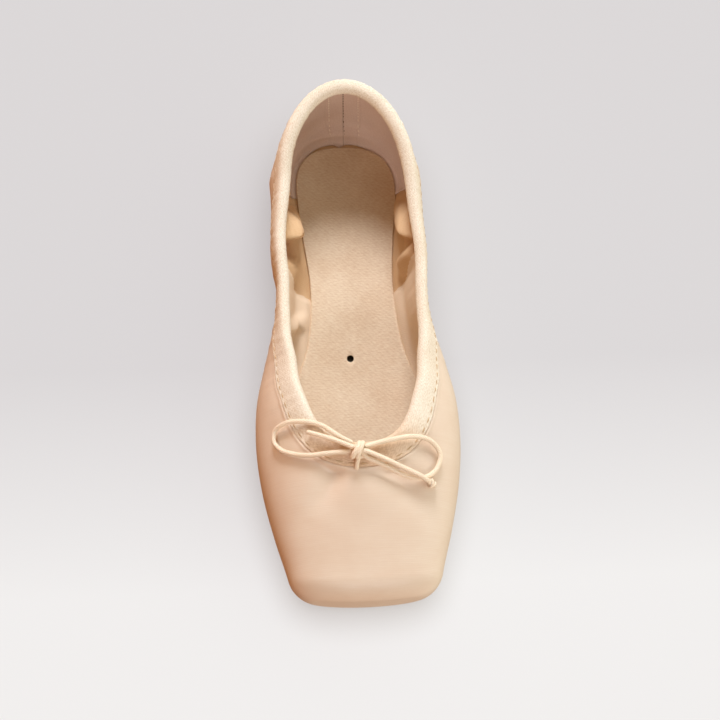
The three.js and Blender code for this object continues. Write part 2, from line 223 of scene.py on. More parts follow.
SOLE_TIP_SQUARE = 2.6
MARGIN_OVERLAP = 7.0  # how far the upper's turned edge reaches in over the outsole
SPINE_HEIGHT = 22.0  # height of the level line that every ray starts from
TOE_PIVOT = 84.0  # its end near the toe, where the rays turn round the toe
HEEL_PIVOT = LENGTH - 34.0  # its end near the heel
TOE_TURN = 62.0  # the radius that spaces the rays round the toe
HEEL_TURN = 36.0  # and round the heel
Rays = namedtuple("Rays", "pivot out back")


def smooth(start, end, x):
    """0 before start, 1 after end, and 3 t^2 - 2 t^3 between them."""
    t = np.clip((x - start) / (end - start), 0, 1)
    return t * t * (3 - 2 * t)


def bump(centre, reach, x):
    """A soft hump: exp(-((x - centre) / reach)^2)."""
    return np.exp(-(((x - centre) / reach) ** 2))


def waver(phase, count, sway, by):
    """Waves whose spacing sways: sin(count phase + sway sin(by phase))."""
    return np.sin(count * phase + sway * np.sin(by * phase))


def run_along(points):
    """How far each point of a path, or of each column of a grid, lies from its first point."""
    hop = np.linalg.norm(np.diff(points, axis=-2), axis=-1)
    return np.concatenate([np.zeros_like(hop[..., :1]), np.cumsum(hop, -1)], -1)


def hermite(xs, ys, x):
    """A smooth curve through points: cubic pieces whose slopes are weighted means of both sides."""
    step = np.diff(xs)
    rise = np.diff(ys, axis=0) / (step[:, None] if ys.ndim > 1 else step)
    before, after = (step[:-1], step[1:]) if ys.ndim == 1 else (step[:-1, None], step[1:, None])
    inner = (rise[:-1] * after + rise[1:] * before) / (before + after)
    slope = np.concatenate([rise[:1], inner, rise[-1:]])
    i = np.clip(np.searchsorted(xs, x, side="right") - 1, 0, len(xs) - 2)
    h = step[i]
    t = (x - xs[i]) / h
    if ys.ndim > 1:
        h, t = h[..., None], t[..., None]
    start = ys[i] * (1 + 2 * t) * (1 - t) ** 2 + slope[i] * h * t * (1 - t) ** 2
    return start + ys[i + 1] * t * t * (3 - 2 * t) + slope[i + 1] * h * t * t * (t - 1)


def along(rows, column, s):
    """One column of a table as a smooth curve of s."""
    return hermite(rows["s"], rows[column], s)


def wall_at(s):
    """Thickness of the upper: pasted layers at the box, satin and lining behind."""
    return BOX_WALL + (QUARTER_WALL - BOX_WALL) * smooth(70, 115, s)


def heel_draw_in(z):
    """How far the heel is drawn in at a height: an arc under it, a square law above."""
    below = np.clip(HEEL_TUCK - (z - OUTSOLE_THICK - GAP), 0, HEEL_TUCK)
    tuck = HEEL_TUCK - np.sqrt(HEEL_TUCK**2 - below**2)
    return tuck + HEEL_LEAN * np.clip((z - LEAN_FROM) / LEAN_RISE, 0, 2) ** 2


def inside_last(x, s, z):
    """True inside the closed last: |x / half|^p + |rise|^p <= 1, squarer below than above."""
    q = s + heel_draw_in(z) * smooth(LEAN_START, LEAN_FULL, s)
    ok = q <= LENGTH
    q = np.minimum(q, LENGTH)
    k = np.clip((q - (LENGTH - HEEL_RUN)) / HEEL_RUN, 0, None)
    front = s - TIP_BOW * (x / LAST["half"][0]) ** 2 - TIP_UNDERCUT * np.clip(TIP_TOP - z, 0, None)
    ok &= front >= 0
    near = np.clip(TIP_ROUND - front, 0, TIP_ROUND)
    inset = TIP_ROUND - np.sqrt(TIP_ROUND**2 - near**2)
    half = along(LAST, "half", q) * np.sqrt(np.maximum(1 - k * k, 1e-9)) - inset
    seat = along(LAST, "seat", q)
    middle = seat + along(LAST, "widest", q)
    top = along(LAST, "crown", q) - inset
    up = z > middle
    power = np.where(up, along(LAST, "round", q), UNDER_SQUARE)
    rise = np.where(up, (z - middle) / (top - middle), (middle - z) / (middle - seat - inset / 2))
    return ok & (np.abs(x / half) ** power + np.clip(rise, 0, None) ** power <= 1)


def edge_of(test, low, high, rounds=30):
    """The place between low and high where test turns false, by halving, for whole arrays."""
    for _ in range(rounds):
        middle = (low + high) / 2
        holds = test(middle)
        low = np.where(holds, middle, low)
        high = np.where(holds, high, middle)
    return (low + high) / 2


def rays(count):
    """Rays from the heel's centre round the right side, the toe and the left side."""
    straight = HEEL_PIVOT - TOE_PIVOT
    heel_quarter, toe_quarter = HEEL_TURN * TURN / 4, TOE_TURN * TURN / 4
    total = 2 * (straight + heel_quarter + toe_quarter)
    at = np.arange(count) / count * total
    walked = np.minimum(at, total - at)
    heel = np.clip(walked / heel_quarter, 0, 1)
    toe = np.clip((walked - heel_quarter - straight) / toe_quarter, 0, 1)
    angle = (heel + toe) * TURN / 4
    pivot = HEEL_PIVOT - np.clip(walked - heel_quarter, 0, straight)
    return Rays(pivot, np.where(at > total / 2, -1, 1) * np.sin(angle), np.cos(angle))


def last_points(ray, angle):
    """The points of the last's surface on rays raised by angles: columns by rows."""
    pivot, out, back = (v[:, None] for v in ray)

    def at(r):
        flat = r * np.cos(angle)
        return out * flat, pivot + back * flat, SPINE_HEIGHT + r * np.sin(angle)

    reach = edge_of(lambda r: inside_last(*at(r)), 0 * angle, 0 * angle + LENGTH)
    return np.stack(np.broadcast_arrays(*at(reach)), -1)


def underside(x, s):
    """Height of the last's underside at places in plan."""
    drop = edge_of(lambda d: inside_last(x, s, SPINE_HEIGHT - d), 0 * x, 0 * x + SPINE_HEIGHT)
    return SPINE_HEIGHT - drop


def sole_sides(rows, s):
    """A sole's middle and half width at s, its ends rounded in: (1 - t^p)^(1/p)."""
    first, end = rows["s"][0], rows["s"][-1]
    heel = np.clip((s - (end - SOLE_END_RUN)) / SOLE_END_RUN, 0, 1)
    toe = np.clip((first + SOLE_TIP_RUN - s) / SOLE_TIP_RUN, 0, 1)
    heel_end = (1 - heel**SOLE_END_SQUARE) ** (1 / SOLE_END_SQUARE)
    toe_end = (1 - toe**SOLE_TIP_SQUARE) ** (1 / SOLE_TIP_SQUARE)
    within = np.clip(s, first, end)
    return along(rows, "middle", within), along(rows, "half", within) * heel_end * toe_end


def on_sole(rows, x, s):
    """Whether places in plan lie on a sole."""
    middle, half = sole_sides(rows, s)
    return (s > rows["s"][0]) & (s < rows["s"][-1]) & (np.abs(x - middle) < half)


def sole_reach(rows, ray):
    """How far each ray runs in plan before it leaves a sole's outline."""
    none = 0 * ray.out
    return edge_of(lambda d: on_sole(rows, ray.out * d, ray.pivot + ray.back * d), none, none + LENGTH)


def read_at(scale, values, share):
    """Values read off where each column's rising scale reaches shares of its own end, in any order."""
    lift = 2.0 * np.arange(len(scale))[:, None]
    where = (scale / scale[:, -1:] + lift).ravel()
    share = np.broadcast_to(share, (len(scale), np.shape(share)[-1]))
    flat = values.reshape(where.size, -1)
    read = np.stack([np.interp((share + lift).ravel(), where, column) for column in flat.T], -1)
    return read.reshape(*share.shape, flat.shape[1])


def grid_normals(grid):
    """Outward unit normals of a grid that closes round: (up the column) x (along the ring)."""
    ahead = np.roll(grid, -1, 0) - np.roll(grid, 1, 0)
    return unit(np.cross(np.gradient(grid, axis=1), ahead))


class Upper:
    """The outer surface of the upper at its finest, and what is measured on it."""

    COLUMNS = 520
    FINE = 260
    ROWS = 150
    TURN_WEIGHT = 7.0  # a radian of turn counts as this many millimetres of rows
    EDGE_WEIGHT = 1.4  # rows stand this much closer near the collar
    EDGE_REACH = 14.0

    def __init__(self):
        self.ray = rays(self.COLUMNS)
        reach = sole_reach(OUTSOLE, self.ray) - MARGIN_OVERLAP
        start, end = np.zeros(self.COLUMNS), np.full(self.COLUMNS, 1.5)

        def past_margin(angle):
            p = last_points(self.ray, -angle[:, None])[:, 0]
            return np.hypot(p[:, 0], p[:, 1] - self.ray.pivot) > reach

        def under_collar(angle):
            p = last_points(self.ray, angle[:, None])[:, 0]
            return p[:, 2] < along(COLLAR, "height", p[:, 1])

        margin = -edge_of(past_margin, start, end, 20)
        collar = edge_of(under_collar, start, end, 24)
        share = np.linspace(0, 1, self.FINE)
        fine = last_points(self.ray, margin[:, None] + (collar - margin)[:, None] * share)
        run = run_along(fine)
        step = np.diff(fine, axis=1)
        length = np.linalg.norm(step, axis=-1)
        heading = unit(step)
        turn = np.arccos(np.clip((heading[:, 1:] * heading[:, :-1]).sum(-1), -1, 1))
        turn = np.concatenate([np.zeros((self.COLUMNS, 1)), turn], 1)
        near = smooth(self.EDGE_REACH, self.EDGE_REACH / 2, run[:, -1:] - run[:, 1:])
        weight = length * (1 + self.EDGE_WEIGHT * near) + self.TURN_WEIGHT * turn
        scale = np.concatenate([np.zeros((self.COLUMNS, 1)), np.cumsum(weight, 1)], 1)
        stacked = np.concatenate([fine, run[..., None]], -1)
        picked = read_at(scale, stacked, np.linspace(0, 1, self.ROWS))
        self.points = picked[..., :3]
        self.run = picked[..., 3]
        self.drop = self.run[:, -1:] - self.run
        self.normals = grid_normals(self.points)
        edge = self.points[:, -1]
        hop = np.linalg.norm(np.roll(edge, -1, 0) - edge, axis=-1)
        self.round = np.concatenate([[0], np.cumsum(hop)[:-1]])
        self.rim = hop.sum()
        self.phase = (self.round / self.rim * TURN)[:, None]  # angle round the collar
        self.edge_up = unit(self.points[:, -1] - self.points[:, -3])

    def at(self, drop, out):
        """Points at distances below the collar edge and off the surface, for every column.
        Above the edge they go on along the column's own direction."""
        drop, out = (np.broadcast_to(v, (self.COLUMNS, np.shape(v)[-1])) for v in (drop, out))
        full = self.run[:, -1:]
        share = 1 - np.clip(drop, 0, None) / full
        stacked = np.concatenate([self.points, self.normals], -1)
        read = read_at(self.run, stacked, share)
        above = np.clip(-drop, 0, None)[..., None] * self.edge_up[:, None]
        return read[..., :3] + above + unit(read[..., 3:]) * out[..., None]


# ---- cords ----
# Routes given point by point: x, distance from the platform, height. Each starts at the knot.
LOOP_LEFT = [
    [-5.1, 60.2, 51.4], [-9.3, 62.8, 51.4], [-16.9, 68.4, 50.4], [-25.8, 71, 48.3], [-31.8, 71.1, 45.1],
    [-35.6, 69, 41.2], [-36.1, 65.6, 40.3], [-33.5, 61.3, 41.8], [-28.4, 58.3, 44.5], [-21.3, 56.6, 47.6],
    [-15.1, 56.6, 49.4], [-10.1, 56.6, 50.3], [-5.9, 56.4, 50.9],
]
LOOP_RIGHT = [
    [0.7, 58.2, 51.7], [4.7, 59.4, 51.4], [11.8, 60.9, 51.1], [21.5, 62.5, 49], [28.2, 61.2, 45.9],
    [31.9, 56.4, 42.5], [29.8, 50.1, 42.3], [24.6, 46.5, 43.9], [20, 46.1, 45.4], [14.8, 47.6, 47],
    [8.3, 50.7, 49.1], [4.2, 52.4, 50.2], [1, 53.9, 51],
]
END_LEFT = [
    [-5, 57.9, 53.3], [-8.5, 59.7, 52.9], [-12.5, 61.7, 51.9], [-17, 63.7, 50.9], [-22, 65.8, 49.4],
]
END_RIGHT = [
    [0.5, 55.9, 53], [4.1, 54.6, 52.4], [8.7, 52.7, 51.3], [13.8, 50.4, 49.7], [18.5, 48.3, 48.3],
    [22.7, 46.4, 47.1], [25.5, 45, 45.1], [27.6, 43.9, 42.6],
]
KNOT_AT = np.array([-2.3, 56.8, 51.9])
SEAM_HOLE = np.array([-3.0, 50.6, 47.6])


def path_through(points, step=0.4):
    """A smooth path through points at even steps: a cubic in the chord length."""
    points = np.array(points, float)
    chord = run_along(points)
    fine = hermite(chord, points, np.linspace(0, chord[-1], 40 * len(points)))
    run = run_along(fine)
    at = np.linspace(0, run[-1], max(int(run[-1] / step), 4))
    return np.stack([np.interp(at, run, column) for column in fine.T], -1), run[-1]


def tube(name, path, radius, sides=16, cap=6):
    """A round cord along a path, closed by half balls: each ring is path + r (a cos t + b sin t),
    where a is level and square to the path and b is square to both."""
    heading = unit(np.gradient(path, axis=0))
    level = unit(np.cross(heading, [0, 0, 1.0]))
    lift = np.cross(heading, level)
    swell = np.linspace(0, TURN / 4, cap, endpoint=False)
    centre = np.concatenate([
        path[0] - radius * np.cos(swell)[:, None] * heading[0], path,
        path[-1] + radius * np.cos(swell[::-1])[:, None] * heading[-1],
    ])
    girth = radius * np.concatenate([np.sin(swell), np.ones(len(path)), np.sin(swell[::-1])])
    pad = ((cap, cap), (0, 0))
    level, lift = np.pad(level, pad, "edge"), np.pad(lift, pad, "edge")
    turn = np.arange(sides)[:, None] / sides * TURN
    ring = np.cos(turn)[..., None] * level + np.sin(turn)[..., None] * lift
    grid = centre + girth[None, :, None] * ring
    run = run_along(centre)
    flow = np.stack(np.broadcast_arrays(turn * radius, run[None], np.float64(0)), -1)
    return mesh_of(name, grid, "poles", flow)


def ring_tube(name, path, radius, sides=14):
    """A closed loop of cord along a closed path."""
    heading = unit(np.roll(path, -1, 0) - np.roll(path, 1, 0))
    inward = unit(path.mean(0) - path)
    level = unit(np.cross(heading, inward))
    lift = np.cross(level, heading)
    turn = np.arange(sides) / sides * TURN
    ring = np.cos(turn)[:, None] * level[:, None] + np.sin(turn)[:, None] * lift[:, None]
    run = np.arange(len(path))[:, None] / len(path) * run_along(path)[-1]
    flow = np.stack(np.broadcast_arrays(turn[None] * radius, run, np.float64(0)), -1)
    return mesh_of(name, path[:, None] + radius * ring, "ring", flow)


def make_cords(material):
    """Two lengths of cord through one knot: each is a loop on one side and an end on the other."""
    right = [*LOOP_LEFT, KNOT_AT + [0, -0.6, 0.2], *END_RIGHT]
    left = [*LOOP_RIGHT, KNOT_AT + [0.2, 0.3, 0.7], *END_LEFT]
    routes = {
        "cord_left_loop": (right, "bow_loop_left", "bow_end_right"),
        "cord_right_loop": (left, "bow_loop_right", "bow_end_left"),
    }
    tip_path, _ = path_through(END_RIGHT)
    tip = piece("cord_tip_knot", tip_knot(tip_path), material, "elastic_cord")
    piece("bow_knot_wraps", knot_wraps(), material, "elastic_cord", "bow_knot")
    for name, (route, *nodes) in routes.items():
        path, length = path_through(route)
        cord = piece(name, tube(name, path, CORD / 2), material, "elastic_cord", *nodes)


def ellipse(centre, first, second, count=48):
    """A closed path: centre + first cos t + second sin t."""
    turn = np.arange(count)[:, None] / count * TURN
    return np.array(centre) + np.cos(turn) * np.array(first) + np.sin(turn) * np.array(second)


def knot_wraps():
    """The cord's turns round both loops at the throat, and its short lead down to the seam."""
    turns = []
    for shift, lean in ((-0.9, 1.5), (0.7, 1.2)):
        centre = KNOT_AT + [shift, 0, 0.1]
        path = ellipse(centre, (lean, 2.75, 0.3), (0.25, -0.2, 2.3))
        turns.append(ring_tube("turn", path, CORD / 2 * 1.02))
    below = KNOT_AT + [[0.2, -2.6, -0.4], [-0.4, -4.2, -1.6]]
    lead, _ = path_through([*below, SEAM_HOLE + [0, 0.6, 0.6], SEAM_HOLE])
    turns.append(tube("lead", lead, CORD / 2 * 0.95))
    back, _ = path_through(KNOT_AT + [[-2.2, 0.8, -1.4], [-1.2, -1.8, -2.0], [1.4, -2.4, -1.5]])
    turns.append(tube("under", back, CORD / 2))
    return joined("bow_knot_wraps", turns)


def tip_knot(path):
    """The end of the right-hand cord: one tight turn and a frayed brush of threads."""
    end = path[-1]
    heading = unit(path[-1] - path[-8])
    level = unit(np.cross(heading, [0, 0, 1.0]))
    lift = np.cross(level, heading)
    parts = []
    for ahead, width, slant, radius in ((-0.8, 1.15, 0.5, 0.75), (0.3, 1.05, -0.5, 0.7)):
        turn = ellipse(end + heading * ahead, width * level + slant * heading, 1.05 * lift, 24)
        parts.append(ring_tube("turn", turn, radius, 10))
    for k in range(14):
        angle = k * 2.4
        spread = 0.25 + 0.55 * ((k * 7) % 5) / 5
        side = math.cos(angle) * level + math.sin(angle) * lift
        out = end + heading * (2.2 + 0.5 * math.sin(5.0 * k)) + side * spread * 1.6
        strand, _ = path_through([end + side * 0.3, (end + out) / 2 + side * 0.15, out], 0.3)
        parts.append(tube("strand", strand, 0.16, 6, 3))
    return joined("cord_tip_knot", parts)


# ---- the cloth's shape ----
# Outward sways of the collar's rim. side: -1 left, 1 right.
SWAYS = table(
    "side s reach out",
    (-1, 160, 13, 0.7), (-1, 138, 9, -0.5), (-1, 184, 8, -0.5), (1, 150, 12, 0.6), (1, 128, 9, -0.4),
    (1, 178, 9, 0.5), (-1, 112, 9, 0.4), (1, 106, 8, 0.3),
)
# Puffs of the satin under the binding
PUFFS = table(
    "side s drop reach tall out",
    (-1, 187, 15, 7, 7, 1.3), (1, 189, 15, 9, 7, 1.1), (-1, 206, 16, 6, 8, 0.6), (1, 208, 17, 6, 8, 0.6),
    (-1, 150, 16, 9, 7, 0.8), (1, 158, 15, 9, 7, 0.8), (-1, 118, 15, 6, 6, 0.5), (1, 122, 15, 6, 6, 0.5),
)
# Folds of the slack lining at the quarters. Each swells inwards from a crest that runs up the wall
# on a slant: rise is its slope's length towards the heel, fall the shorter one towards the toe.
FOLDS = table(
    "side s tilt rise fall z tall inward",
    (-1, 166, -0.4, 13, 5, 22, 17, 19), (-1, 183, -0.6, 5, 5, 28, 12, 5),
    (-1, 152, -0.2, 7, 12, 12, 14, 5), (-1, 124, -0.4, 7, 4, 16, 12, 3),
    (1, 168, -0.8, 14, 5, 24, 14, 16), (1, 151, 0.1, 9, 7, 17, 14, 8),
    (1, 187, 0.3, 6, 5, 22, 10, 2),
)
TUCK = 9.0  # distance over which a fold's shade reaches into the hollow in front of it
SLACK = 4.6  # how far the whole lining hangs in between the folds
FOLD_OVER = 0.6  # how far a fold may come in over the insole's edge
POCKET_FROM = 188.5  # front edges of the canvas pocket inside the heel
CANVAS_THICK = 0.45
HEEL_ROWS = (-6.5, 6.5)  # stitch rows beside the back seam
HEEL_STITCH = 3.0
SEAM_LEAN = 0.045  # how far the back seam leans to the right for each millimetre below the collar
INSOLE_TOP = 7.5  # height of the insole's face at the heel
HEEL_GAP = 2.3  # open slot between the insole's edge and the heel's lining
HEEL_PAD = 4.5  # most that the lining is brought in there
SIDE_SEAM = ((41.0, 128.0), (8.0, 116.0))  # height and s of its two ends
LINING_SEAMS = {-1: ((32.0, 148.0), (8.0, 138.0)), 1: ((32.0, 150.0), (8.0, 140.0))}
TROUGHS = [  # start, end in plan, width, depth
    ((-12, 50), (-23, 31), 5.5, 2.8), ((12, 49), (25, 34), 5.0, 2.6), ((2, 48), (-2, 43), 5, 0.5),
]
RIDGES = [((14, 47), (25, 36), 4.5, 0.8), ((1, 42), (3, 27), 9, 1.0), ((-21, 45), (-31, 34), 5, 0.4)]


def rim_relief(upper, drop):
    """How far every layer near the collar sways outwards: listed humps and close gathers."""
    edge = upper.points[:, -1]
    side = np.sign(edge[:, 0])[:, None]
    s = edge[:, 1][:, None]
    sway = sum(r["out"] * (side == r["side"]) * bump(r["s"], r["reach"], s) for r in SWAYS)
    gathers = 0.6 * waver(upper.phase, 61, 1.5, 5) + 0.4 * waver(upper.phase, 97, 2, 3)
    strength = 0.05 + 0.07 * smooth(90, 115, s)
    fade = smooth(30, 8, drop)
    return sway * smooth(30, 10, drop) + gathers * strength * fade * (0.5 + 0.5 * smooth(0, 5, drop))


def crease(x, s, start, end, width):
    """1 at the start of a straight line in plan, fading as exp(-(d / width)^2) to its sides and past
    its ends, and down to 0.15 along it."""
    start, way = np.array(start, float), np.subtract(end, start).astype(float)
    t = np.clip(((x - start[0]) * way[0] + (s - start[1]) * way[1]) / (way @ way), 0, 1)
    apart = (x - start[0] - t * way[0]) ** 2 + (s - start[1] - t * way[1]) ** 2
    return np.exp(-apart / width**2) * (1 - 0.85 * smooth(0, 1, t))


def past_line(z, s, line):
    """How far behind a slanting line in side view a point lies, in s."""
    (z0, s0), (z1, s1) = line
    return s - (s0 + (s1 - s0) * (z - z0) / (z1 - z0))


def vamp_relief(upper):
    """The troughs and ridges that run down the vamp from the seam of the binding. Every layer of
    the upper follows them."""
    x, s, z = np.moveaxis(upper.points, -1, 0)
    sunk = sum(depth * crease(x, s, a, b, width) for a, b, width, depth in TROUGHS)
    raised = sum(depth * crease(x, s, a, b, width) for a, b, width, depth in RIDGES)
    return smooth(24, 34, z) * smooth(TAPE_OUT, TAPE_OUT + 4, upper.drop) * (raised - sunk)


def satin_relief(upper):
    """The satin's own shape: its lip beside the binding, troughs, puffs, seams and toe pleats."""
    x, s, z = np.moveaxis(upper.points, -1, 0)
    drop = upper.drop
    edge_s = upper.points[:, -1, 1][:, None]
    side = np.sign(x)
    relief = rim_relief(upper, drop)
    throat = 1 - 0.75 * smooth(74, 100, edge_s)
    relief += 0.4 * throat * bump(TAPE_OUT + 1.0, 0.8, drop)
    relief -= 0.2 * smooth(TAPE_OUT + 0.5, TAPE_OUT - 0.5, drop)
    relief += vamp_relief(upper)
    for r in PUFFS:
        puff = bump(r["s"], r["reach"], s) * bump(r["drop"], r["tall"], drop)
        relief += r["out"] * (side == r["side"]) * puff
    quarter = smooth(95, 112, s)
    seam = past_line(z, s, SIDE_SEAM)
    lap = 0.25 * smooth(-0.2, 0.4, seam) * smooth(3, 0.6, seam)
    relief += quarter * (lap - 0.35 * bump(0, 0.5, seam))
    at_back = smooth(LENGTH - 30, LENGTH - 12, s)
    back = np.abs(x) * at_back + FAR * (1 - at_back)
    relief += 0.22 * bump(1.2, 0.8, back) - 0.35 * bump(0, 0.5, back)
    under = smooth(13, 3, upper.run)
    toe = smooth(46, 20, s)
    fan = waver(np.arctan2(upper.ray.out, -upper.ray.back)[:, None], 38, 0.7, 5)
    relief += under * toe * 0.55 * (1 - 2 * np.abs(fan) ** 0.7)
    relief += 0.3 * under * smooth(60, 90, s) * waver(upper.phase, 75, 2, 4)
    drag = np.sin(0.55 * s + 0.09 * z * side + 1.2 * np.sin(0.11 * s))
    drag = drag * bump(20, 9, z) * smooth(100, 118, s)
    return relief + 0.12 * drag * smooth(LENGTH - 12, LENGTH - 30, s)


def lining_folds(x, s, z):
    """How far the lining swells inwards: a general slack and the folds, pressed flat where they
    reach the insole's edge, as swell / (1 + (swell / room)^3)^(1/3), and the step where the front
    part's edge laps over the quarter's."""
    side = np.sign(x)
    total = SLACK * smooth(96, 130, s) * smooth(192, 176, s) * bump(18, 15, z)
    for r in FOLDS:
        q = s - r["s"] - r["tilt"] * (z - r["z"])
        hump = smooth(-r["fall"], 0, q) * smooth(r["rise"], 0, q)
        total += r["inward"] * (side == r["side"]) * hump * bump(r["z"], r["tall"], z)
    middle, half = sole_sides(INSOLE, s)
    room = np.maximum(side * (x - middle) - half + FOLD_OVER, 0.4)
    total = total / (1 + (total / room) ** 3) ** (1 / 3)
    for which, line in LINING_SEAMS.items():
        total += 0.6 * (side == which) * smooth(0.4, -0.4, past_line(z, s, line)) * smooth(90, 104, s)
    return total


def cloth_flow(points, drop):
    """Cloth coordinates: across the shoe round the section, along it and down the platform, and
    the distance below the collar."""
    x, s, z = np.moveaxis(points, -1, 0)
    across = 36 * np.arctan2(x, np.maximum(z - 8, 3.0))
    front = smooth(10, 2, s)
    return np.stack([across, s - front * (LAST["crown"][0] - z), drop], -1)


def make_upper(upper, satin, lining):
    """Two closed layers that share the upper's wall: the satin outside and the lining inside."""
    wall = wall_at(upper.points[..., 1])
    relief = satin_relief(upper)
    flow = cloth_flow(upper.points, upper.drop)
    few = np.linspace(upper.ROWS - 1, 0, 16).astype(int)
    outer = upper.points + upper.normals * relief[..., None]
    shared = rim_relief(upper, upper.drop) + vamp_relief(upper)
    hidden = upper.points + upper.normals * (shared - 0.5 * wall)[..., None]
    grid = np.concatenate([outer, hidden[:, few]], 1)
    coords = np.concatenate([flow, flow[:, few]], 1)
    piece("upper_satin", mesh_of("upper_satin", grid, "ring", coords), satin, "satin", "upper")
    pick = np.unique(np.linspace(0, upper.ROWS - 1, 112).astype(int))
    inner = upper.points + upper.normals * (shared - wall)[..., None]
    x, s, z = np.moveaxis(inner, -1, 0)
    beside = np.hypot(x, s - upper.ray.pivot[:, None]) - sole_reach(INSOLE, upper.ray)[:, None]
    closing = np.clip(beside - HEEL_GAP, 0, HEEL_PAD) * bump(INSOLE_TOP, 6, z) * smooth(150, 190, s)
    inward = lining_folds(x, s, z) * smooth(1, 8, upper.run) * smooth(3, 9, upper.drop) + closing
    inner -= upper.normals * inward[..., None]
    backing = upper.points + upper.normals * (shared - 0.52 * wall)[..., None]
    grid = np.concatenate([backing[:, few[::-1]], inner[:, pick[::-1]]], 1)
    # Painted shade: how far each place lies in the hollow in front of a fold, where the lining's colour
    # turns a dark red-brown.
    hollow_shade = np.clip((lining_folds(x, s + TUCK, z) - lining_folds(x, s, z)) / TUCK, 0, 1)
    behind = [past_line(z, s, LINING_SEAMS[which]) for which in (-1, 1)]
    ahead = smooth(0.5, -0.5, np.where(x < 0, *behind))
    places = np.stack(np.broadcast_arrays(upper.round[:, None], upper.drop, hollow_shade - 2.0 * ahead), -1)
    places = np.concatenate([places[:, few[::-1]], places[:, pick[::-1]]], 1)
    mesh = mesh_of("upper_lining", grid, "ring", places)
    piece("upper_lining", mesh, lining, "satin")
    return inner


def make_heel_lining(upper, inner, material):
    """The canvas pocket inside the heel: a thin sheet lying on the lining. Its cloth coordinates
    are the distance round from the back seam and the distance below the collar."""
    order = np.roll(np.arange(upper.COLUMNS), upper.COLUMNS // 2)
    order = order[upper.points[order, -1, 1] > POCKET_FROM]
    rows = np.flatnonzero((upper.drop[0] > 2) & (upper.run[0] > 3))[::2]
    sheet = inner[order][:, rows] - upper.normals[order][:, rows] * 0.08
    around = (upper.round[order] + upper.rim / 2) % upper.rim - upper.rim / 2
    flat = np.stack(np.broadcast_arrays(around[:, None], upper.drop[order][:, rows], np.float64(0)), -1)
    mesh = mesh_of("heel_lining", sheet[:, ::-1], "sheet", flat[:, ::-1])
    thing = piece("heel_lining", mesh, material, "insole_cloth")
    thickness = thing.modifiers.new("thickness", "SOLIDIFY")
    thickness.thickness = CANVAS_THICK * MM
    thickness.offset = 1


def make_heel_stitches(upper, inner, dark, light):
    """Three rows of stitches up the inside of the back: the seam's own, and one at each side that
    holds its turnings down."""
    rows = np.arange(*np.searchsorted(upper.run[0], [9.5, upper.run[0, -1] - 6]))
    run = upper.run[0, rows]
    kinds = (
        ("heel_seam_stitches", dark, [0.0], 0.3, 0.2),
        ("heel_side_stitches", light, HEEL_ROWS, 0.62, 0.3),
    )
    for name, thread, offsets, dash, radius in kinds:
        meshes = []
        for offset in offsets:
            wanted = offset + SEAM_LEAN * upper.drop[0, rows]
            near = np.abs(inner[:, rows, 0] - wanted) + FAR * (inner[:, rows, 1] < HEEL_PIVOT)
            column = np.argmin(near, 0)
            surface = inner[column, rows] - upper.normals[column, rows] * 0.55
            surface[:, 0] = wanted
            starts = np.arange(run[0], run[-1] - HEEL_STITCH, HEEL_STITCH)
            first, second, facing = (
                np.stack([np.interp(at, run, v) for v in values.T], -1)
                for at, values in ((starts, surface), (starts + HEEL_STITCH * dash, surface),
                                   (starts, -upper.normals[column, rows]))
            )
            meshes.append(stitches("row", first, second, facing, radius, 0.14))
        piece(name, joined(name, meshes), thread, "insole_cloth")


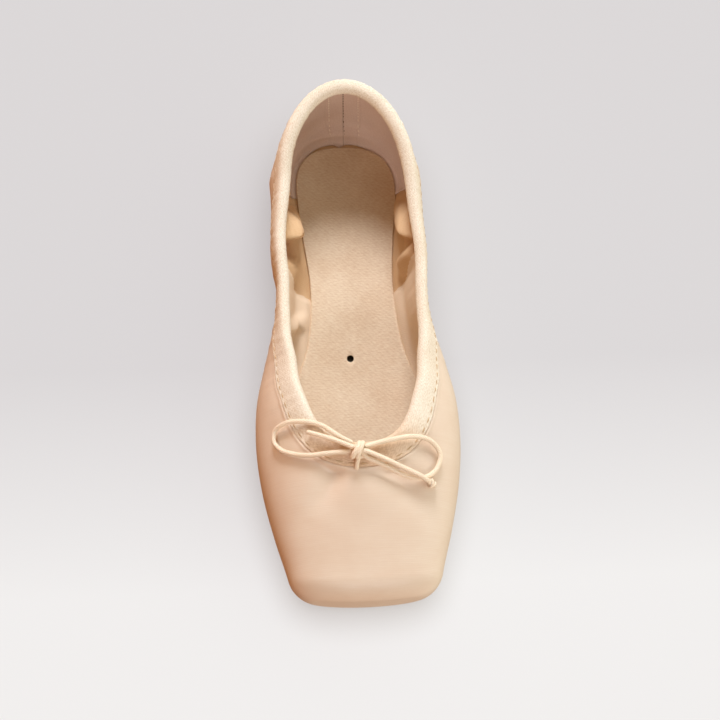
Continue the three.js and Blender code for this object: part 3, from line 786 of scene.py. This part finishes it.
def make_binding(upper, tape):
    """The drawstring binding: one folded tape, swollen where the cord runs in its fold. Its section
    is a closed row of (distance below the collar edge, distance off the surface): down its outer
    leaf's face, over the fold, down the inner leaf, and back up against the wall."""
    s = upper.points[:, -1, 1][:, None]
    wall = wall_at(s)
    heel, throat = smooth(150, 205, s), 1 - smooth(66, 92, s)
    swell_out = 1.05 - 0.25 * heel - 0.55 * throat
    swell_in = 0.8 + 1.7 * heel - 0.3 * throat
    leaf, skin = 0.6, 0.06
    outside = [
        (TAPE_OUT - 0.1, skin, 0), (TAPE_OUT + 0.15, 0.3, 0), (TAPE_OUT, leaf, 0),
        (TAPE_OUT - 0.7, leaf, 0), (TAPE_SEAM, 0.45, 0), (TAPE_OUT - 1.8, leaf, 0.05),
        (TAPE_OUT - 3.2, leaf, 0.25), (TAPE_OUT - 4.6, leaf, 0.5), (2.9, leaf, 0.75),
        (1.9, leaf, 0.92), (1.0, leaf, 1),
    ]
    section = [(drop, flat + share * swell_out) for drop, flat, share in outside]
    high, low = leaf + swell_out, -wall - leaf - swell_in
    for angle in np.linspace(0, TURN / 2, 11):
        over = 0.5 - 0.85 * np.sin(angle) * (high - low) / 2
        section.append((over, (high + low) / 2 + (high - low) / 2 * math.cos(angle)))
    inside = [(1.2, 1), (2.2, 0.85), (3.4, 0.6), (4.8, 0.3), (TAPE_IN - 0.8, 0.05), (TAPE_IN, 0)]
    section += [(drop, -wall - leaf - share * swell_in) for drop, share in inside]
    shown = len(section)
    for face, drops in ((-wall - skin, (TAPE_IN, 3.5, 0.2)), (-wall / 2, (-0.25,)), (skin, (0.2, 4.5))):
        section += [(drop, face) for drop in drops]
    drop, out = (np.concatenate([row + 0 * s for row in rows], 1) for rows in zip(*section))
    visible = np.arange(len(section)) < shown
    wrinkle = 0.5 * waver(upper.phase, 89, 2, 7) + 0.5 * waver(upper.phase, 131, 3, 4)
    soft = smooth(90, 120, s) * 0.08 + 0.04
    wrinkle = soft * wrinkle * visible
    out += wrinkle * np.sign(out + wall / 2) * smooth(-3, 1, drop) * smooth(TAPE_OUT, 4, drop)
    drop -= 0.12 * wrinkle * smooth(1, -1, drop)
    grid = upper.at(drop, out + rim_relief(upper, drop))
    across = run_along(grid)
    run = np.broadcast_to(upper.round[:, None], across.shape)
    # Painted shade: the tape is darkened to a warm beige at the throat, under the bow.
    throat_shade = smooth(76, 58, s) + 0 * run
    mesh = mesh_of("drawstring_binding", grid, "ring", np.stack([run, across, throat_shade], -1))
    piece("drawstring_binding", mesh, tape, "binding_tape", "drawstring_casing")


# ---- soles ----
HOLE_AT = np.array([-0.6, 112.0])  # nail hole in the insole, in plan
HOLE = 1.5  # its radius
INSOLE_BEVEL = 1.3  # width of its rounded edge
CHANNEL = 5.4  # from the outsole's edge to the inner side of the channel sewn in it


def make_insole(material):
    """The insole: rings in plan round its nail hole, over the rounded edge and back underneath."""
    turn = np.arange(480) / 480 * TURN
    out, back = np.sin(turn), np.cos(turn)

    def inside(distance):
        return on_sole(INSOLE, HOLE_AT[0] + out * distance, HOLE_AT[1] + back * distance)

    reach = edge_of(inside, 0 * out, 0 * out + LENGTH)[:, None]
    pit, lip = HOLE * 0.92, HOLE * 1.12
    share = np.linspace(0, 1, 64) ** 0.9
    face = lip + (reach - INSOLE_BEVEL - lip) * share
    bevel = [0.95, 0.6, 0.3, 0.1, 0.0, 0.0, 0.1, 0.4]
    sink = [0.05, 0.18, 0.4, 0.75, 1.15, 1.6, 1.85, 2.0]
    one = np.ones_like(reach)
    distance = np.concatenate([
        [0, 0.5 * pit, pit, pit, HOLE] * one, face, reach - bevel,
        (reach - 1) * [0.9, 0.6, 0.3, 0.0],
    ], 1)
    depth = np.concatenate([[1.5, 1.5, 1.5, 0.5, 0.12], 0 * share, sink, [2, 2, 2, 2]])
    x, s = HOLE_AT[0] + out[:, None] * distance, HOLE_AT[1] + back[:, None] * distance
    middle, half = sole_sides(INSOLE, s)
    floor = underside(np.clip(x, middle - half, middle + half), s) + wall_at(s) + 1.5 * GAP
    z = floor + INSOLE_THICK - depth
    # Painted shade: 1 down the nail hole's pit and 0.3 at its lip, where the insole's colour goes near to
    # black.
    hole_shade_mask = np.concatenate([[1, 1, 1, 1, 0.3], np.zeros(distance.shape[1] - 5)]) * one
    mesh = mesh_of("insole_cover", np.stack([x, s, z], -1), "poles", np.stack([x, s, hole_shade_mask], -1))
    piece("insole_cover", mesh, material, "insole_cloth", "insole")


def make_outsole(material):
    """The leather outsole: rings in plan from the middle of its underside, past a sewn channel and
    the rounded edge, and back over its top."""
    ray = rays(400)
    reach = sole_reach(OUTSOLE, ray)[:, None]
    flat = np.linspace(0, 1, 24)
    channel = [5.0, 4.6, 4.3, 4.0, 3.7, 3.3, 2.6, 1.9]
    groove = [0.0, 0.05, 0.4, 0.55, 0.4, 0.05, 0.0, 0.0]
    edge = [1.3, 0.7, 0.3, 0.05, 0.0, 0.0, 0.05, 0.35, 0.9]
    rise = [0.0, 0.05, 0.16, 0.34, 0.5, 0.66, 0.85, 0.97, 1.0]
    back = (reach - 1.2) * [0.9, 0.7, 0.4, 0.0]
    distance = np.concatenate([(reach - CHANNEL) * flat, reach - channel, reach - edge, back], 1)
    lift = np.concatenate([0 * flat, np.zeros(len(channel)), rise, np.ones(back.shape[1])])
    cut = np.concatenate([0 * flat, groove, np.zeros(len(edge) + back.shape[1])])
    x = ray.out[:, None] * distance
    s = ray.pivot[:, None] + ray.back[:, None] * distance
    top = underside(x, s) - GAP
    bottom = np.maximum(along(LAST, "seat", s) - GAP - OUTSOLE_THICK, 0)
    z = bottom + (top - bottom) * lift + cut
    places = np.stack([x, s, reach - distance], -1)
    mesh = mesh_of("outsole_leather", np.stack([x, s, z], -1), "poles", places)
    piece("outsole_leather", mesh, material, "sole_leather", "outsole")


def stitches(name, starts, ends, normals, radius, lift, sides=6):
    """Thread dashes joined in one mesh: each is a tube from its start to its end that sinks at both
    ends: centre + r (a cos t + b sin t), r = radius sqrt(1 - u^2), u running from -1 to 1."""
    u = np.array([-1, -0.85, -0.4, 0, 0.4, 0.85, 1.0])
    turn = np.arange(sides) / sides * TURN
    way = ends - starts
    centre = (starts + ends)[:, None] / 2 + way[:, None] / 2 * u[:, None]
    centre = centre + normals[:, None] * (lift * (1 - u**2))[None, :, None]
    heading = unit(way)
    level = unit(np.cross(heading, normals))
    girth = radius * np.sqrt(1 - u**2) + 0.01
    lifted = np.cross(level, heading)[:, None]
    ring = np.cos(turn)[:, None] * level[:, None] + np.sin(turn)[:, None] * lifted
    points = centre[:, None] + girth[None, None, :, None] * ring[:, :, None]
    count, rows = len(starts), len(u)
    number = np.arange(count * sides * rows).reshape(count, sides, rows)
    ahead, up = np.roll(number, -1, 1), number[:, :, 1:]
    quads = np.stack([number[:, :, :-1], up, ahead[:, :, 1:], ahead[:, :, :-1]], -1).reshape(-1, 4)
    caps = np.concatenate([number[:, :, 0], number[:, ::-1, -1]])
    mesh = bpy.data.meshes.new(name)
    placed = (points.reshape(-1, 3) - [0, LENGTH / 2, 0]) * MM
    mesh.from_pydata(placed.tolist(), [], quads.tolist() + caps.tolist())
    mesh.shade_smooth()
    return mesh


def make_binding_stitches(upper, thread):
    """The seam that holds the binding: one dash for each stitch, all round the collar."""
    count = round(upper.rim / STITCH)
    drop = np.full((upper.COLUMNS, 1), TAPE_SEAM)
    share = 1 - drop / upper.run[:, -1:]
    normal = unit(read_at(upper.run, upper.normals, share))[:, 0]
    line = upper.at(drop, 0.42 + rim_relief(upper, drop))[:, 0]
    where = np.append(upper.round, upper.rim)

    def on_line(run, values):
        looped = np.concatenate([values, values[:1]])
        return np.stack([np.interp(run % upper.rim, where, column) for column in looped.T], -1)

    start = np.arange(count) * upper.rim / count
    first, second = on_line(start + 0.6, line), on_line(start + STITCH * 0.82, line)
    mesh = stitches("binding_stitches", first, second, on_line(start, normal), 0.26, 0.16)
    piece("binding_stitches", mesh, thread, "elastic_cord")


# ---- materials ----
WAVE_UNIT = TURN / 20  # one band of a wave texture at scale 1, in its own units
WALL_GLOW = 1.42  # world light level with the shoe
CEILING_GLOW = 0.3  # and straight above and below it


def colour(code):
    """An sRGB hex colour as the linear numbers that a shader takes."""
    srgb = np.array([int(code[i : i + 2], 16) for i in (1, 3, 5)]) / 255
    linear = np.where(srgb <= 0.04045, srgb / 12.92, ((srgb + 0.055) / 1.055) ** 2.4)
    return (*linear, 1.0)


def add(tree, kind, inputs, **settings):
    """Adds a node: its settings, and its sockets in a row or by name, each a value or an output. A
    MapRange's row is the value, from low, from high, to low, to high."""
    node = tree.nodes.new("ShaderNode" + kind)
    for key, value in settings.items():
        setattr(node, key, value)
    sockets = inputs if isinstance(inputs, dict) else dict(enumerate(inputs))
    for key, value in sockets.items():
        if isinstance(value, bpy.types.Node):
            value = value.outputs[0]
        if isinstance(value, bpy.types.NodeSocket):
            tree.links.new(value, node.inputs[key])
        else:
            node.inputs[key].default_value = value
    return node


def cloth_place(tree):
    """The cloth's own coordinates, in millimetres."""
    return add(tree, "Attribute", {}, attribute_name="cloth").outputs["Vector"]


def cloth_axes(tree):
    """The cloth's own coordinates, each on an output."""
    return add(tree, "SeparateXYZ", [cloth_place(tree)])


def start_material(name):
    """A new material, its node tree and its Principled shader."""
    material = bpy.data.materials.new(name)
    material.use_nodes = True
    tree = material.node_tree
    return material, tree, tree.nodes["Principled BSDF"]


def finish_surface(tree, shader, base, roughness, height, distance, sockets):
    """Links colour, roughness and bump to the shader, and sets its uniform sockets."""
    relief = add(tree, "Bump", {"Height": height, "Distance": distance * MM, "Strength": 1.0})
    tree.links.new(base.outputs[0], shader.inputs["Base Color"])
    tree.links.new(roughness.outputs[0], shader.inputs["Roughness"])
    tree.links.new(relief.outputs[0], shader.inputs["Normal"])
    for key, value in sockets.items():
        shader.inputs[key].default_value = value


def satin_material():
    """Duchess satin, woven of fine warp floats over a slubbed weft and stretched over the box. To
    the eye: a soft sheen, faint level lines across the vamp, and a tone that drifts from patch to
    patch. A real weft stands 0.2 mm apart; it is drawn at 0.7 mm, which just shows."""
    material, tree, shader = start_material("slubbed_peach_satin")
    cloth = cloth_place(tree)
    streaked = add(tree, "Mapping", {"Vector": cloth, "Scale": (0.07, 1.0, 0.02)})
    slubs = add(tree, "TexNoise", {"Vector": streaked, "Scale": 1.5, "Detail": 3.0, "Roughness": 0.6})
    weft = add(tree, "TexWave", {"Vector": streaked, "Scale": WAVE_UNIT / 0.7, "Distortion": 1.6,
                                 "Detail": 2.0, "Detail Scale": 1.4}, bands_direction="Y")
    fine = add(tree, "Mapping", {"Vector": cloth, "Scale": (2.6, 0.5, 0.3)})
    warp = add(tree, "TexNoise", {"Vector": fine, "Scale": 0.8, "Detail": 2.0})
    drift = add(tree, "TexNoise", {"Vector": cloth, "Scale": 0.05, "Detail": 3.0})
    tone = add(tree, "MapRange", [slubs, 0.3, 0.7, 0, 0.35])
    base = add(tree, "MixRGB", [tone, colour("#e5d4c2"), colour("#ddc5ae")])
    patch = add(tree, "MapRange", [drift, 0.38, 0.68, 0, 0.5])
    base = add(tree, "MixRGB", [patch, base, colour("#dcc5b0")])
    rough = add(tree, "MapRange", [warp, 0.3, 0.7, 0.36, 0.48])
    threads = add(tree, "Math", [weft.outputs["Fac"], 0.2], operation="MULTIPLY")
    threads = add(tree, "Math", [slubs, 0.5, threads], operation="MULTIPLY_ADD")
    grain = add(tree, "Math", [warp, 0.3, threads], operation="MULTIPLY_ADD")
    finish_surface(tree, shader, base, rough, grain, 0.05, {
        "Specular IOR Level": 0.6, "Sheen Weight": 0.05, "Sheen Roughness": 0.4,
        "Sheen Tint": colour("#fff0e0"), "IOR": 1.5})
    return material


PLAIN = (0.35, 1.0, False)
TWILL = (0.08, 1.2, True)


def woven_material(name, light, dark, thread, weave, grain, roughness, sheen, tint):
    """A cotton cloth: bands of warp and weft, thread millimetres apart, under the yarn's own thick
    and thin places, which run along the weft. weave: (share of the bands in the look, how far the
    yarn's thick places are drawn out, whether the bands slant). name says which cloth."""
    bands, drawn, slant = weave
    material, tree, shader = start_material(name)
    cloth = cloth_place(tree)
    settings = {
        "Vector": cloth, "Scale": WAVE_UNIT / thread,
        "Distortion": 2.4, "Detail": 2.0, "Detail Scale": 1.8,
    }
    along_weft = add(tree, "Mapping", {"Vector": cloth, "Scale": (1 / drawn, drawn, 1.0)})
    yarn = add(tree, "TexNoise", {
        "Vector": along_weft, "Scale": 0.8 / thread, "Detail": 4.0, "Roughness": 0.7})
    broad = add(tree, "TexNoise", {"Vector": cloth, "Scale": 0.06, "Detail": 3.0})
    rib = add(tree, "TexWave", settings, bands_direction="DIAGONAL" if slant else "X").outputs["Fac"]
    if not slant:
        weft = add(tree, "TexWave", settings, bands_direction="Y").outputs["Fac"]
        rib = add(tree, "Math", [rib, weft], operation="MAXIMUM")
    mixed = add(tree, "Math", [rib, bands, yarn], operation="MULTIPLY_ADD")
    shade = add(tree, "MapRange", [mixed, 0.36, 0.64 + 0.9 * bands, grain, 0])
    drift = add(tree, "MapRange", [broad, 0.35, 0.7, 0, 0.3])
    total = add(tree, "Math", [shade, drift], operation="ADD")
    base = add(tree, "MixRGB", [total, colour(light), colour(dark)])
    rough = add(tree, "MapRange", [yarn, 0.3, 0.7, roughness - 0.06, roughness + 0.06])
    finish_surface(tree, shader, base, rough, mixed, 0.12 * thread, {
        "Specular IOR Level": 0.25, "Sheen Weight": sheen, "Sheen Roughness": 0.5,
        "Sheen Tint": colour(tint)})
    return material, tree, shader, base


def make_materials():
    """Every finish of the shoe, by the name of the piece that wears it."""
    wears = {
        "satin": satin_material(), "lining": lining_material(), "canvas": canvas_material(),
        "tape": tape_material(), "insole": insole_material(), "leather": leather_material(),
        "elastic": elastic_material(),
    }
    threads = {
        "dark_thread": ("brown_sewing_thread", "#7e6052", "#5e463a"),
        "light_thread": ("beige_sewing_thread", "#fff4ea", "#e8d4c4"),
        # The binding's thread: cream, drawn darker as a tan, so that its dashes also carry a painted
        # shade of their needle holes.
        "thread": ("tan_thread_with_painted_shade", "#dcc29e", "#ac8c6a"),
    }
    for wearer, (name, crowns, gaps) in threads.items():
        wears[wearer] = woven_material(name, crowns, gaps, 0.3, PLAIN, 0.5, 0.7, 0.1, "#fff4e2")[0]
    return wears


def tape_material():
    """Cotton twill tape, ivory, with a painted shade of warm beige at the throat, under the bow. The
    third cloth coordinate says how much."""
    material, tree, shader, base = woven_material(
        "ivory_twill_tape", "#faf4e8", "#dacab4", 0.6, TWILL, 0.95, 0.85, 0.1, "#fff4e2")
    place = cloth_axes(tree)
    # Painted shade at the throat: the ivory is multiplied by a warm beige.
    warm = add(tree, "Math", [place.outputs["Z"], 0.75], operation="MULTIPLY")
    throat_shaded = add(tree, "MixRGB", [warm, base, colour("#f0d6c0")], blend_type="MULTIPLY")
    tree.links.new(throat_shaded.outputs[0], shader.inputs["Base Color"])
    return material


def lining_material():
    """Cotton lining: a smooth plain weave, golden at the quarters, where it hangs in folds, and paler in
    the front part. The hollows in front of the folds carry a painted shade of dark red-brown. The third
    cloth coordinate says how far a place lies in such a hollow, and is below zero in the front part."""
    material, tree, shader, base = woven_material(
        "golden_cotton_lining", "#e4c6a0", "#d5ad80", 0.8, PLAIN, 0.4, 0.75, 0.1, "#ffe8cc")
    place = cloth_axes(tree)
    # Painted shade: the lining turns a dark red-brown in the hollows in front of its folds.
    shade = add(tree, "MapRange", [place.outputs["Z"], 0, 0.7, 0, 0.92])
    hollow_shaded = add(tree, "MixRGB", [shade, base, colour("#8e4c2a")])
    front = add(tree, "MapRange", [place.outputs["Z"], -0.5, -0.4, 0.75, 0])
    pale = add(tree, "MixRGB", [front, hollow_shaded, colour("#f0dfca")])
    tree.links.new(pale.outputs[0], shader.inputs["Base Color"])
    return material


TURNING = 8.2  # width of the seam's turnings


def canvas_material():
    """Grey-pink cotton canvas lining the heel: plain weave, matt, with the dark open line of the
    back seam and the faint edges of the turnings pressed flat beside it."""
    material, tree, shader, base = woven_material(
        "grey_cotton_canvas", "#e8d6cd", "#d0b8ac", 0.7, PLAIN, 0.7, 0.9, 0.05, "#ffffff")
    place = cloth_axes(tree)
    leaning = [place.outputs["Y"], -SEAM_LEAN, place.outputs["X"]]
    off = add(tree, "Math", leaning, operation="MULTIPLY_ADD")
    off = add(tree, "Math", [off], operation="ABSOLUTE")
    seam = add(tree, "MapRange", [off, 0.1, 0.4, 0.4, 0])
    edge = add(tree, "Math", [off, TURNING], operation="SUBTRACT")
    edge = add(tree, "Math", [edge], operation="ABSOLUTE")
    edge = add(tree, "MapRange", [edge, 0.2, 0.6, 0.05, 0])
    lines = add(tree, "Math", [seam, edge], operation="ADD")
    dark = add(tree, "MixRGB", [lines, base, colour("#6a4f42")])
    tree.links.new(dark.outputs[0], shader.inputs["Base Color"])
    return material


def insole_material():
    """Brushed cotton twill bonded to board: slanting ribs raised to a short nap that lies in level
    rows, dry and matt. The real rows stand 0.5 mm apart and are drawn at 1 mm."""
    material, tree, shader, base = woven_material(
        "brushed_peach_twill", "#e8dac4", "#ccb195", 1.0, (0.07, 1.9, True), 0.62, 0.95, 0.2, "#ffe6cc")
    pit = cloth_axes(tree)
    # Painted shade: the insole goes near to black in and around the nail hole.
    hole = add(tree, "MapRange", [pit.outputs["Z"], 0.1, 0.6, 0, 1])
    dark = add(tree, "MixRGB", [hole, base, colour("#2f2b22")])
    tree.links.new(dark.outputs[0], shader.inputs["Base Color"])
    return material


SCORE_PITCH = 5  # between the sole's scored lines


def leather_material():
    """Split cowhide sole leather, buffed and scored: matt tan with a nap, pores and, inside its
    cut edge, cross scoring. The third cloth coordinate is the distance in from the edge."""
    material, tree, shader = start_material("buffed_sole_leather")
    place = add(tree, "TexCoord", {}).outputs["Object"]
    pores = add(tree, "TexNoise", {
        "Vector": place, "Scale": 1 / (0.9 * MM), "Detail": 5.0, "Roughness": 0.7})
    stain = add(tree, "TexNoise", {"Vector": place, "Scale": 1 / (22 * MM), "Detail": 4.0})
    scores = []
    for turn in (45, -45):
        turned = add(tree, "Mapping", {"Vector": place, "Rotation": (0, 0, math.radians(turn))})
        bands = {"Vector": turned, "Scale": WAVE_UNIT / (SCORE_PITCH * MM), "Distortion": 0.15}
        scores.append(add(tree, "TexWave", bands, bands_direction="X").outputs["Fac"])
    crossed = add(tree, "Math", scores, operation="MINIMUM")
    cut = add(tree, "MapRange", [crossed, 0, 0.06, 0, 1])
    inset = cloth_axes(tree)
    rim = add(tree, "MapRange", [inset.outputs["Z"], 1.4, 1.8, 1, 0])
    cut = add(tree, "Math", [cut, rim], operation="MAXIMUM")
    base = add(tree, "MixRGB", [stain, colour("#cda681"), colour("#b98c63")])
    base = add(tree, "MixRGB", [pores, base, colour("#dcbb98")])
    scored = add(tree, "MapRange", [cut, 0, 1, 0.45, 0])
    base = add(tree, "MixRGB", [scored, base, colour("#8f6844")])
    rough = add(tree, "MapRange", [pores, 0.3, 0.7, 0.7, 0.9])
    height = add(tree, "Math", [cut, pores], operation="ADD")
    finish_surface(tree, shader, base, rough, height, 0.12, {"Specular IOR Level": 0.3})
    return material


PLAIT_PITCH = 0.8  # between the elastic's plaits


def elastic_material():
    """Round braided elastic: cotton yarns plaited over a rubber core, cream, with slanting plaits."""
    material, tree, shader = start_material("braided_cream_elastic")
    cloth = cloth_place(tree)
    plaits = []
    for slant in (0.6, -0.6):
        slanted = add(tree, "Mapping", {"Vector": cloth, "Rotation": (0, 0, slant)})
        bands = {"Vector": slanted, "Scale": WAVE_UNIT / PLAIT_PITCH, "Distortion": 0.3}
        plaits.append(add(tree, "TexWave", bands).outputs["Fac"])
    plait = add(tree, "Math", plaits, operation="MAXIMUM")
    fuzz = add(tree, "TexNoise", {"Vector": cloth, "Scale": 1.5, "Detail": 3.0})
    shade = add(tree, "MapRange", [plait, 0.4, 1, 0.8, 0])
    base = add(tree, "MixRGB", [shade, colour("#fbeedb"), colour("#ebd0b0")])
    rough = add(tree, "MapRange", [fuzz, 0.3, 0.7, 0.65, 0.85])
    finish_surface(tree, shader, base, rough, plait, 0.12, {
        "Specular IOR Level": 0.25, "Sheen Weight": 0.2, "Sheen Tint": colour("#fff0d8")})
    return material


# ---- stage ----
def make_world():
    """The studio's walls as light alone: brightest level with the shoe and dim over and under it,
    white all round but for a low golden glow on the left."""
    world = bpy.data.worlds.new("studio")
    world.use_nodes = True
    tree = world.node_tree
    way = add(tree, "SeparateXYZ", [add(tree, "TexCoord", {}).outputs["Generated"]])
    tilt = add(tree, "Math", [way.outputs["Z"]], operation="ABSOLUTE")
    behind = add(tree, "Math", [way.outputs["Y"], 0], operation="MAXIMUM")
    over = add(tree, "Math", [way.outputs["Z"], 0], operation="MAXIMUM")
    side = add(tree, "Math", [over, 0.3, way.outputs["X"]], operation="MULTIPLY_ADD")
    side = add(tree, "Math", [behind, 0.6, side], operation="MULTIPLY_ADD")
    side = add(tree, "MapRange", [side, -0.3, 0.48])
    tint = add(tree, "MixRGB", [side, colour("#a65e10"), colour("#fff4e0")])
    glow = add(tree, "MapRange", [tilt, 0, 1, WALL_GLOW, CEILING_GLOW])
    background = tree.nodes["Background"]
    tree.links.new(tint.outputs[0], background.inputs["Color"])
    tree.links.new(glow.outputs[0], background.inputs["Strength"])
    bpy.context.scene.world = world


def make_floor():
    """A pale acrylic floor lit from above that also glows with its own emission, painted light with no
    lamp under it, so that the shoe's shadow on it stays faint. The walls' glow, not the floor, fills the
    shoe's shaded sides."""
    size = 40.0
    mesh = bpy.data.meshes.new("floor")
    corners = [(-size, -size, 0), (size, -size, 0), (size, size, 0), (-size, size, 0)]
    mesh.from_pydata(corners, [], [(0, 1, 2, 3)])
    floor = in_scene("floor", mesh)
    floor.visible_diffuse = False
    floor.visible_glossy = False
    material, tree, shader = start_material("floor_acrylic")
    place = add(tree, "SeparateXYZ", [add(tree, "TexCoord", {}).outputs["Object"]])
    far = add(tree, "MapRange", [place.outputs["Y"], -0.10, 0])
    tone = add(tree, "MixRGB", [far, colour("#979797"), colour("#898889")])
    tree.links.new(tone.outputs[0], shader.inputs["Base Color"])
    # Painted light: the floor glows with its own emission, with no lamp under it.
    tree.links.new(tone.outputs[0], shader.inputs["Emission Color"])
    shader.inputs["Emission Strength"].default_value = 1.45
    shader.inputs["Roughness"].default_value = 0.9
    shader.inputs["Specular IOR Level"].default_value = 0.1
    floor.data.materials.append(material)
    return floor


INSIDE = ("upper_lining", "heel_lining", "heel_seam_stitches", "heel_side_stitches", "insole_cover")


def lit_by(name, objects, state):
    """A light-linking collection that lets a light reach only these objects, or all but these."""
    collection = bpy.data.collections.new(name)
    for number, thing in enumerate(objects):
        collection.objects.link(thing)
        collection.collection_objects[number].light_linking.link_state = state
    return collection


def make_lights(floor):
    """A soft key from behind the heel, stronger in the shoe's inside than on its outside, and an
    overhead wash for the floor alone. The outside also has a fill from the toe, and a warm light
    and a higher cool one from the left back. A faint fill reaches the heel's lining alone."""
    target = Vector((0, -0.01, 0.02))
    inside_pieces = [bpy.data.objects[name] for name in INSIDE]
    on_floor = lit_by("floor_only", [floor], "INCLUDE")
    inside = lit_by("inside_only", inside_pieces, "INCLUDE")
    heel = lit_by("heel_only", inside_pieces[1:4], "INCLUDE")
    outside = lit_by("outside_only", [floor, *inside_pieces], "EXCLUDE")
    lights = (
        # name, (azimuth from the heel towards the right, height), distance, size, watts, colour, lit
        ("key_inside", (0, 41.3), 1.6, 0.56, 26.5, "#fffdff", inside),
        ("key_outside", (-1, 42), 1.6, 0.58, 20.3, "#f1f7ff", outside),
        ("wash", (0, 90), 1.6, 1.4, 31, "#f3f8ff", on_floor),
        ("front", (174, 34), 1.5, 0.8, 6.3, "#f8fcff", outside),
        ("left_back", (-48, 36), 1.4, 0.5, 2.5, "#ffc878", outside),
        ("shoulder", (-48, 58), 1.5, 0.4, 2.7, "#f0fbff", outside),
        ("heel_fill", (-148, 34), 1.5, 0.8, 3.6, "#fffaf6", heel),
    )
    for name, (azimuth, height), distance, width, watts, tint, lit in lights:
        turn, rise = math.radians(azimuth), math.radians(height)
        way = Vector((math.sin(turn) * math.cos(rise), math.cos(turn) * math.cos(rise), math.sin(rise)))
        data = bpy.data.lights.new(name, "AREA")
        data.shape = "DISK"
        data.size = width
        data.energy = watts
        data.color = colour(tint)[:3]
        light = in_scene(name, data)
        light.location = target + way * distance
        light.rotation_mode = "QUATERNION"
        light.rotation_quaternion = way.to_track_quat("Z", "Y")
        light.light_linking.receiver_collection = lit


def make_stage():
    """The floor, the walls' glow and the lights."""
    bpy.context.scene.view_settings.view_transform = "Standard"
    make_world()
    make_lights(make_floor())


make_camera()
finishes = make_materials()
make_cords(finishes["elastic"])
shape = Upper()
inside = make_upper(shape, finishes["satin"], finishes["lining"])
make_heel_lining(shape, inside, finishes["canvas"])
make_heel_stitches(shape, inside, finishes["dark_thread"], finishes["light_thread"])
make_binding(shape, finishes["tape"])
make_binding_stitches(shape, finishes["thread"])
make_insole(finishes["insole"])
make_outsole(finishes["leather"])
make_stage()
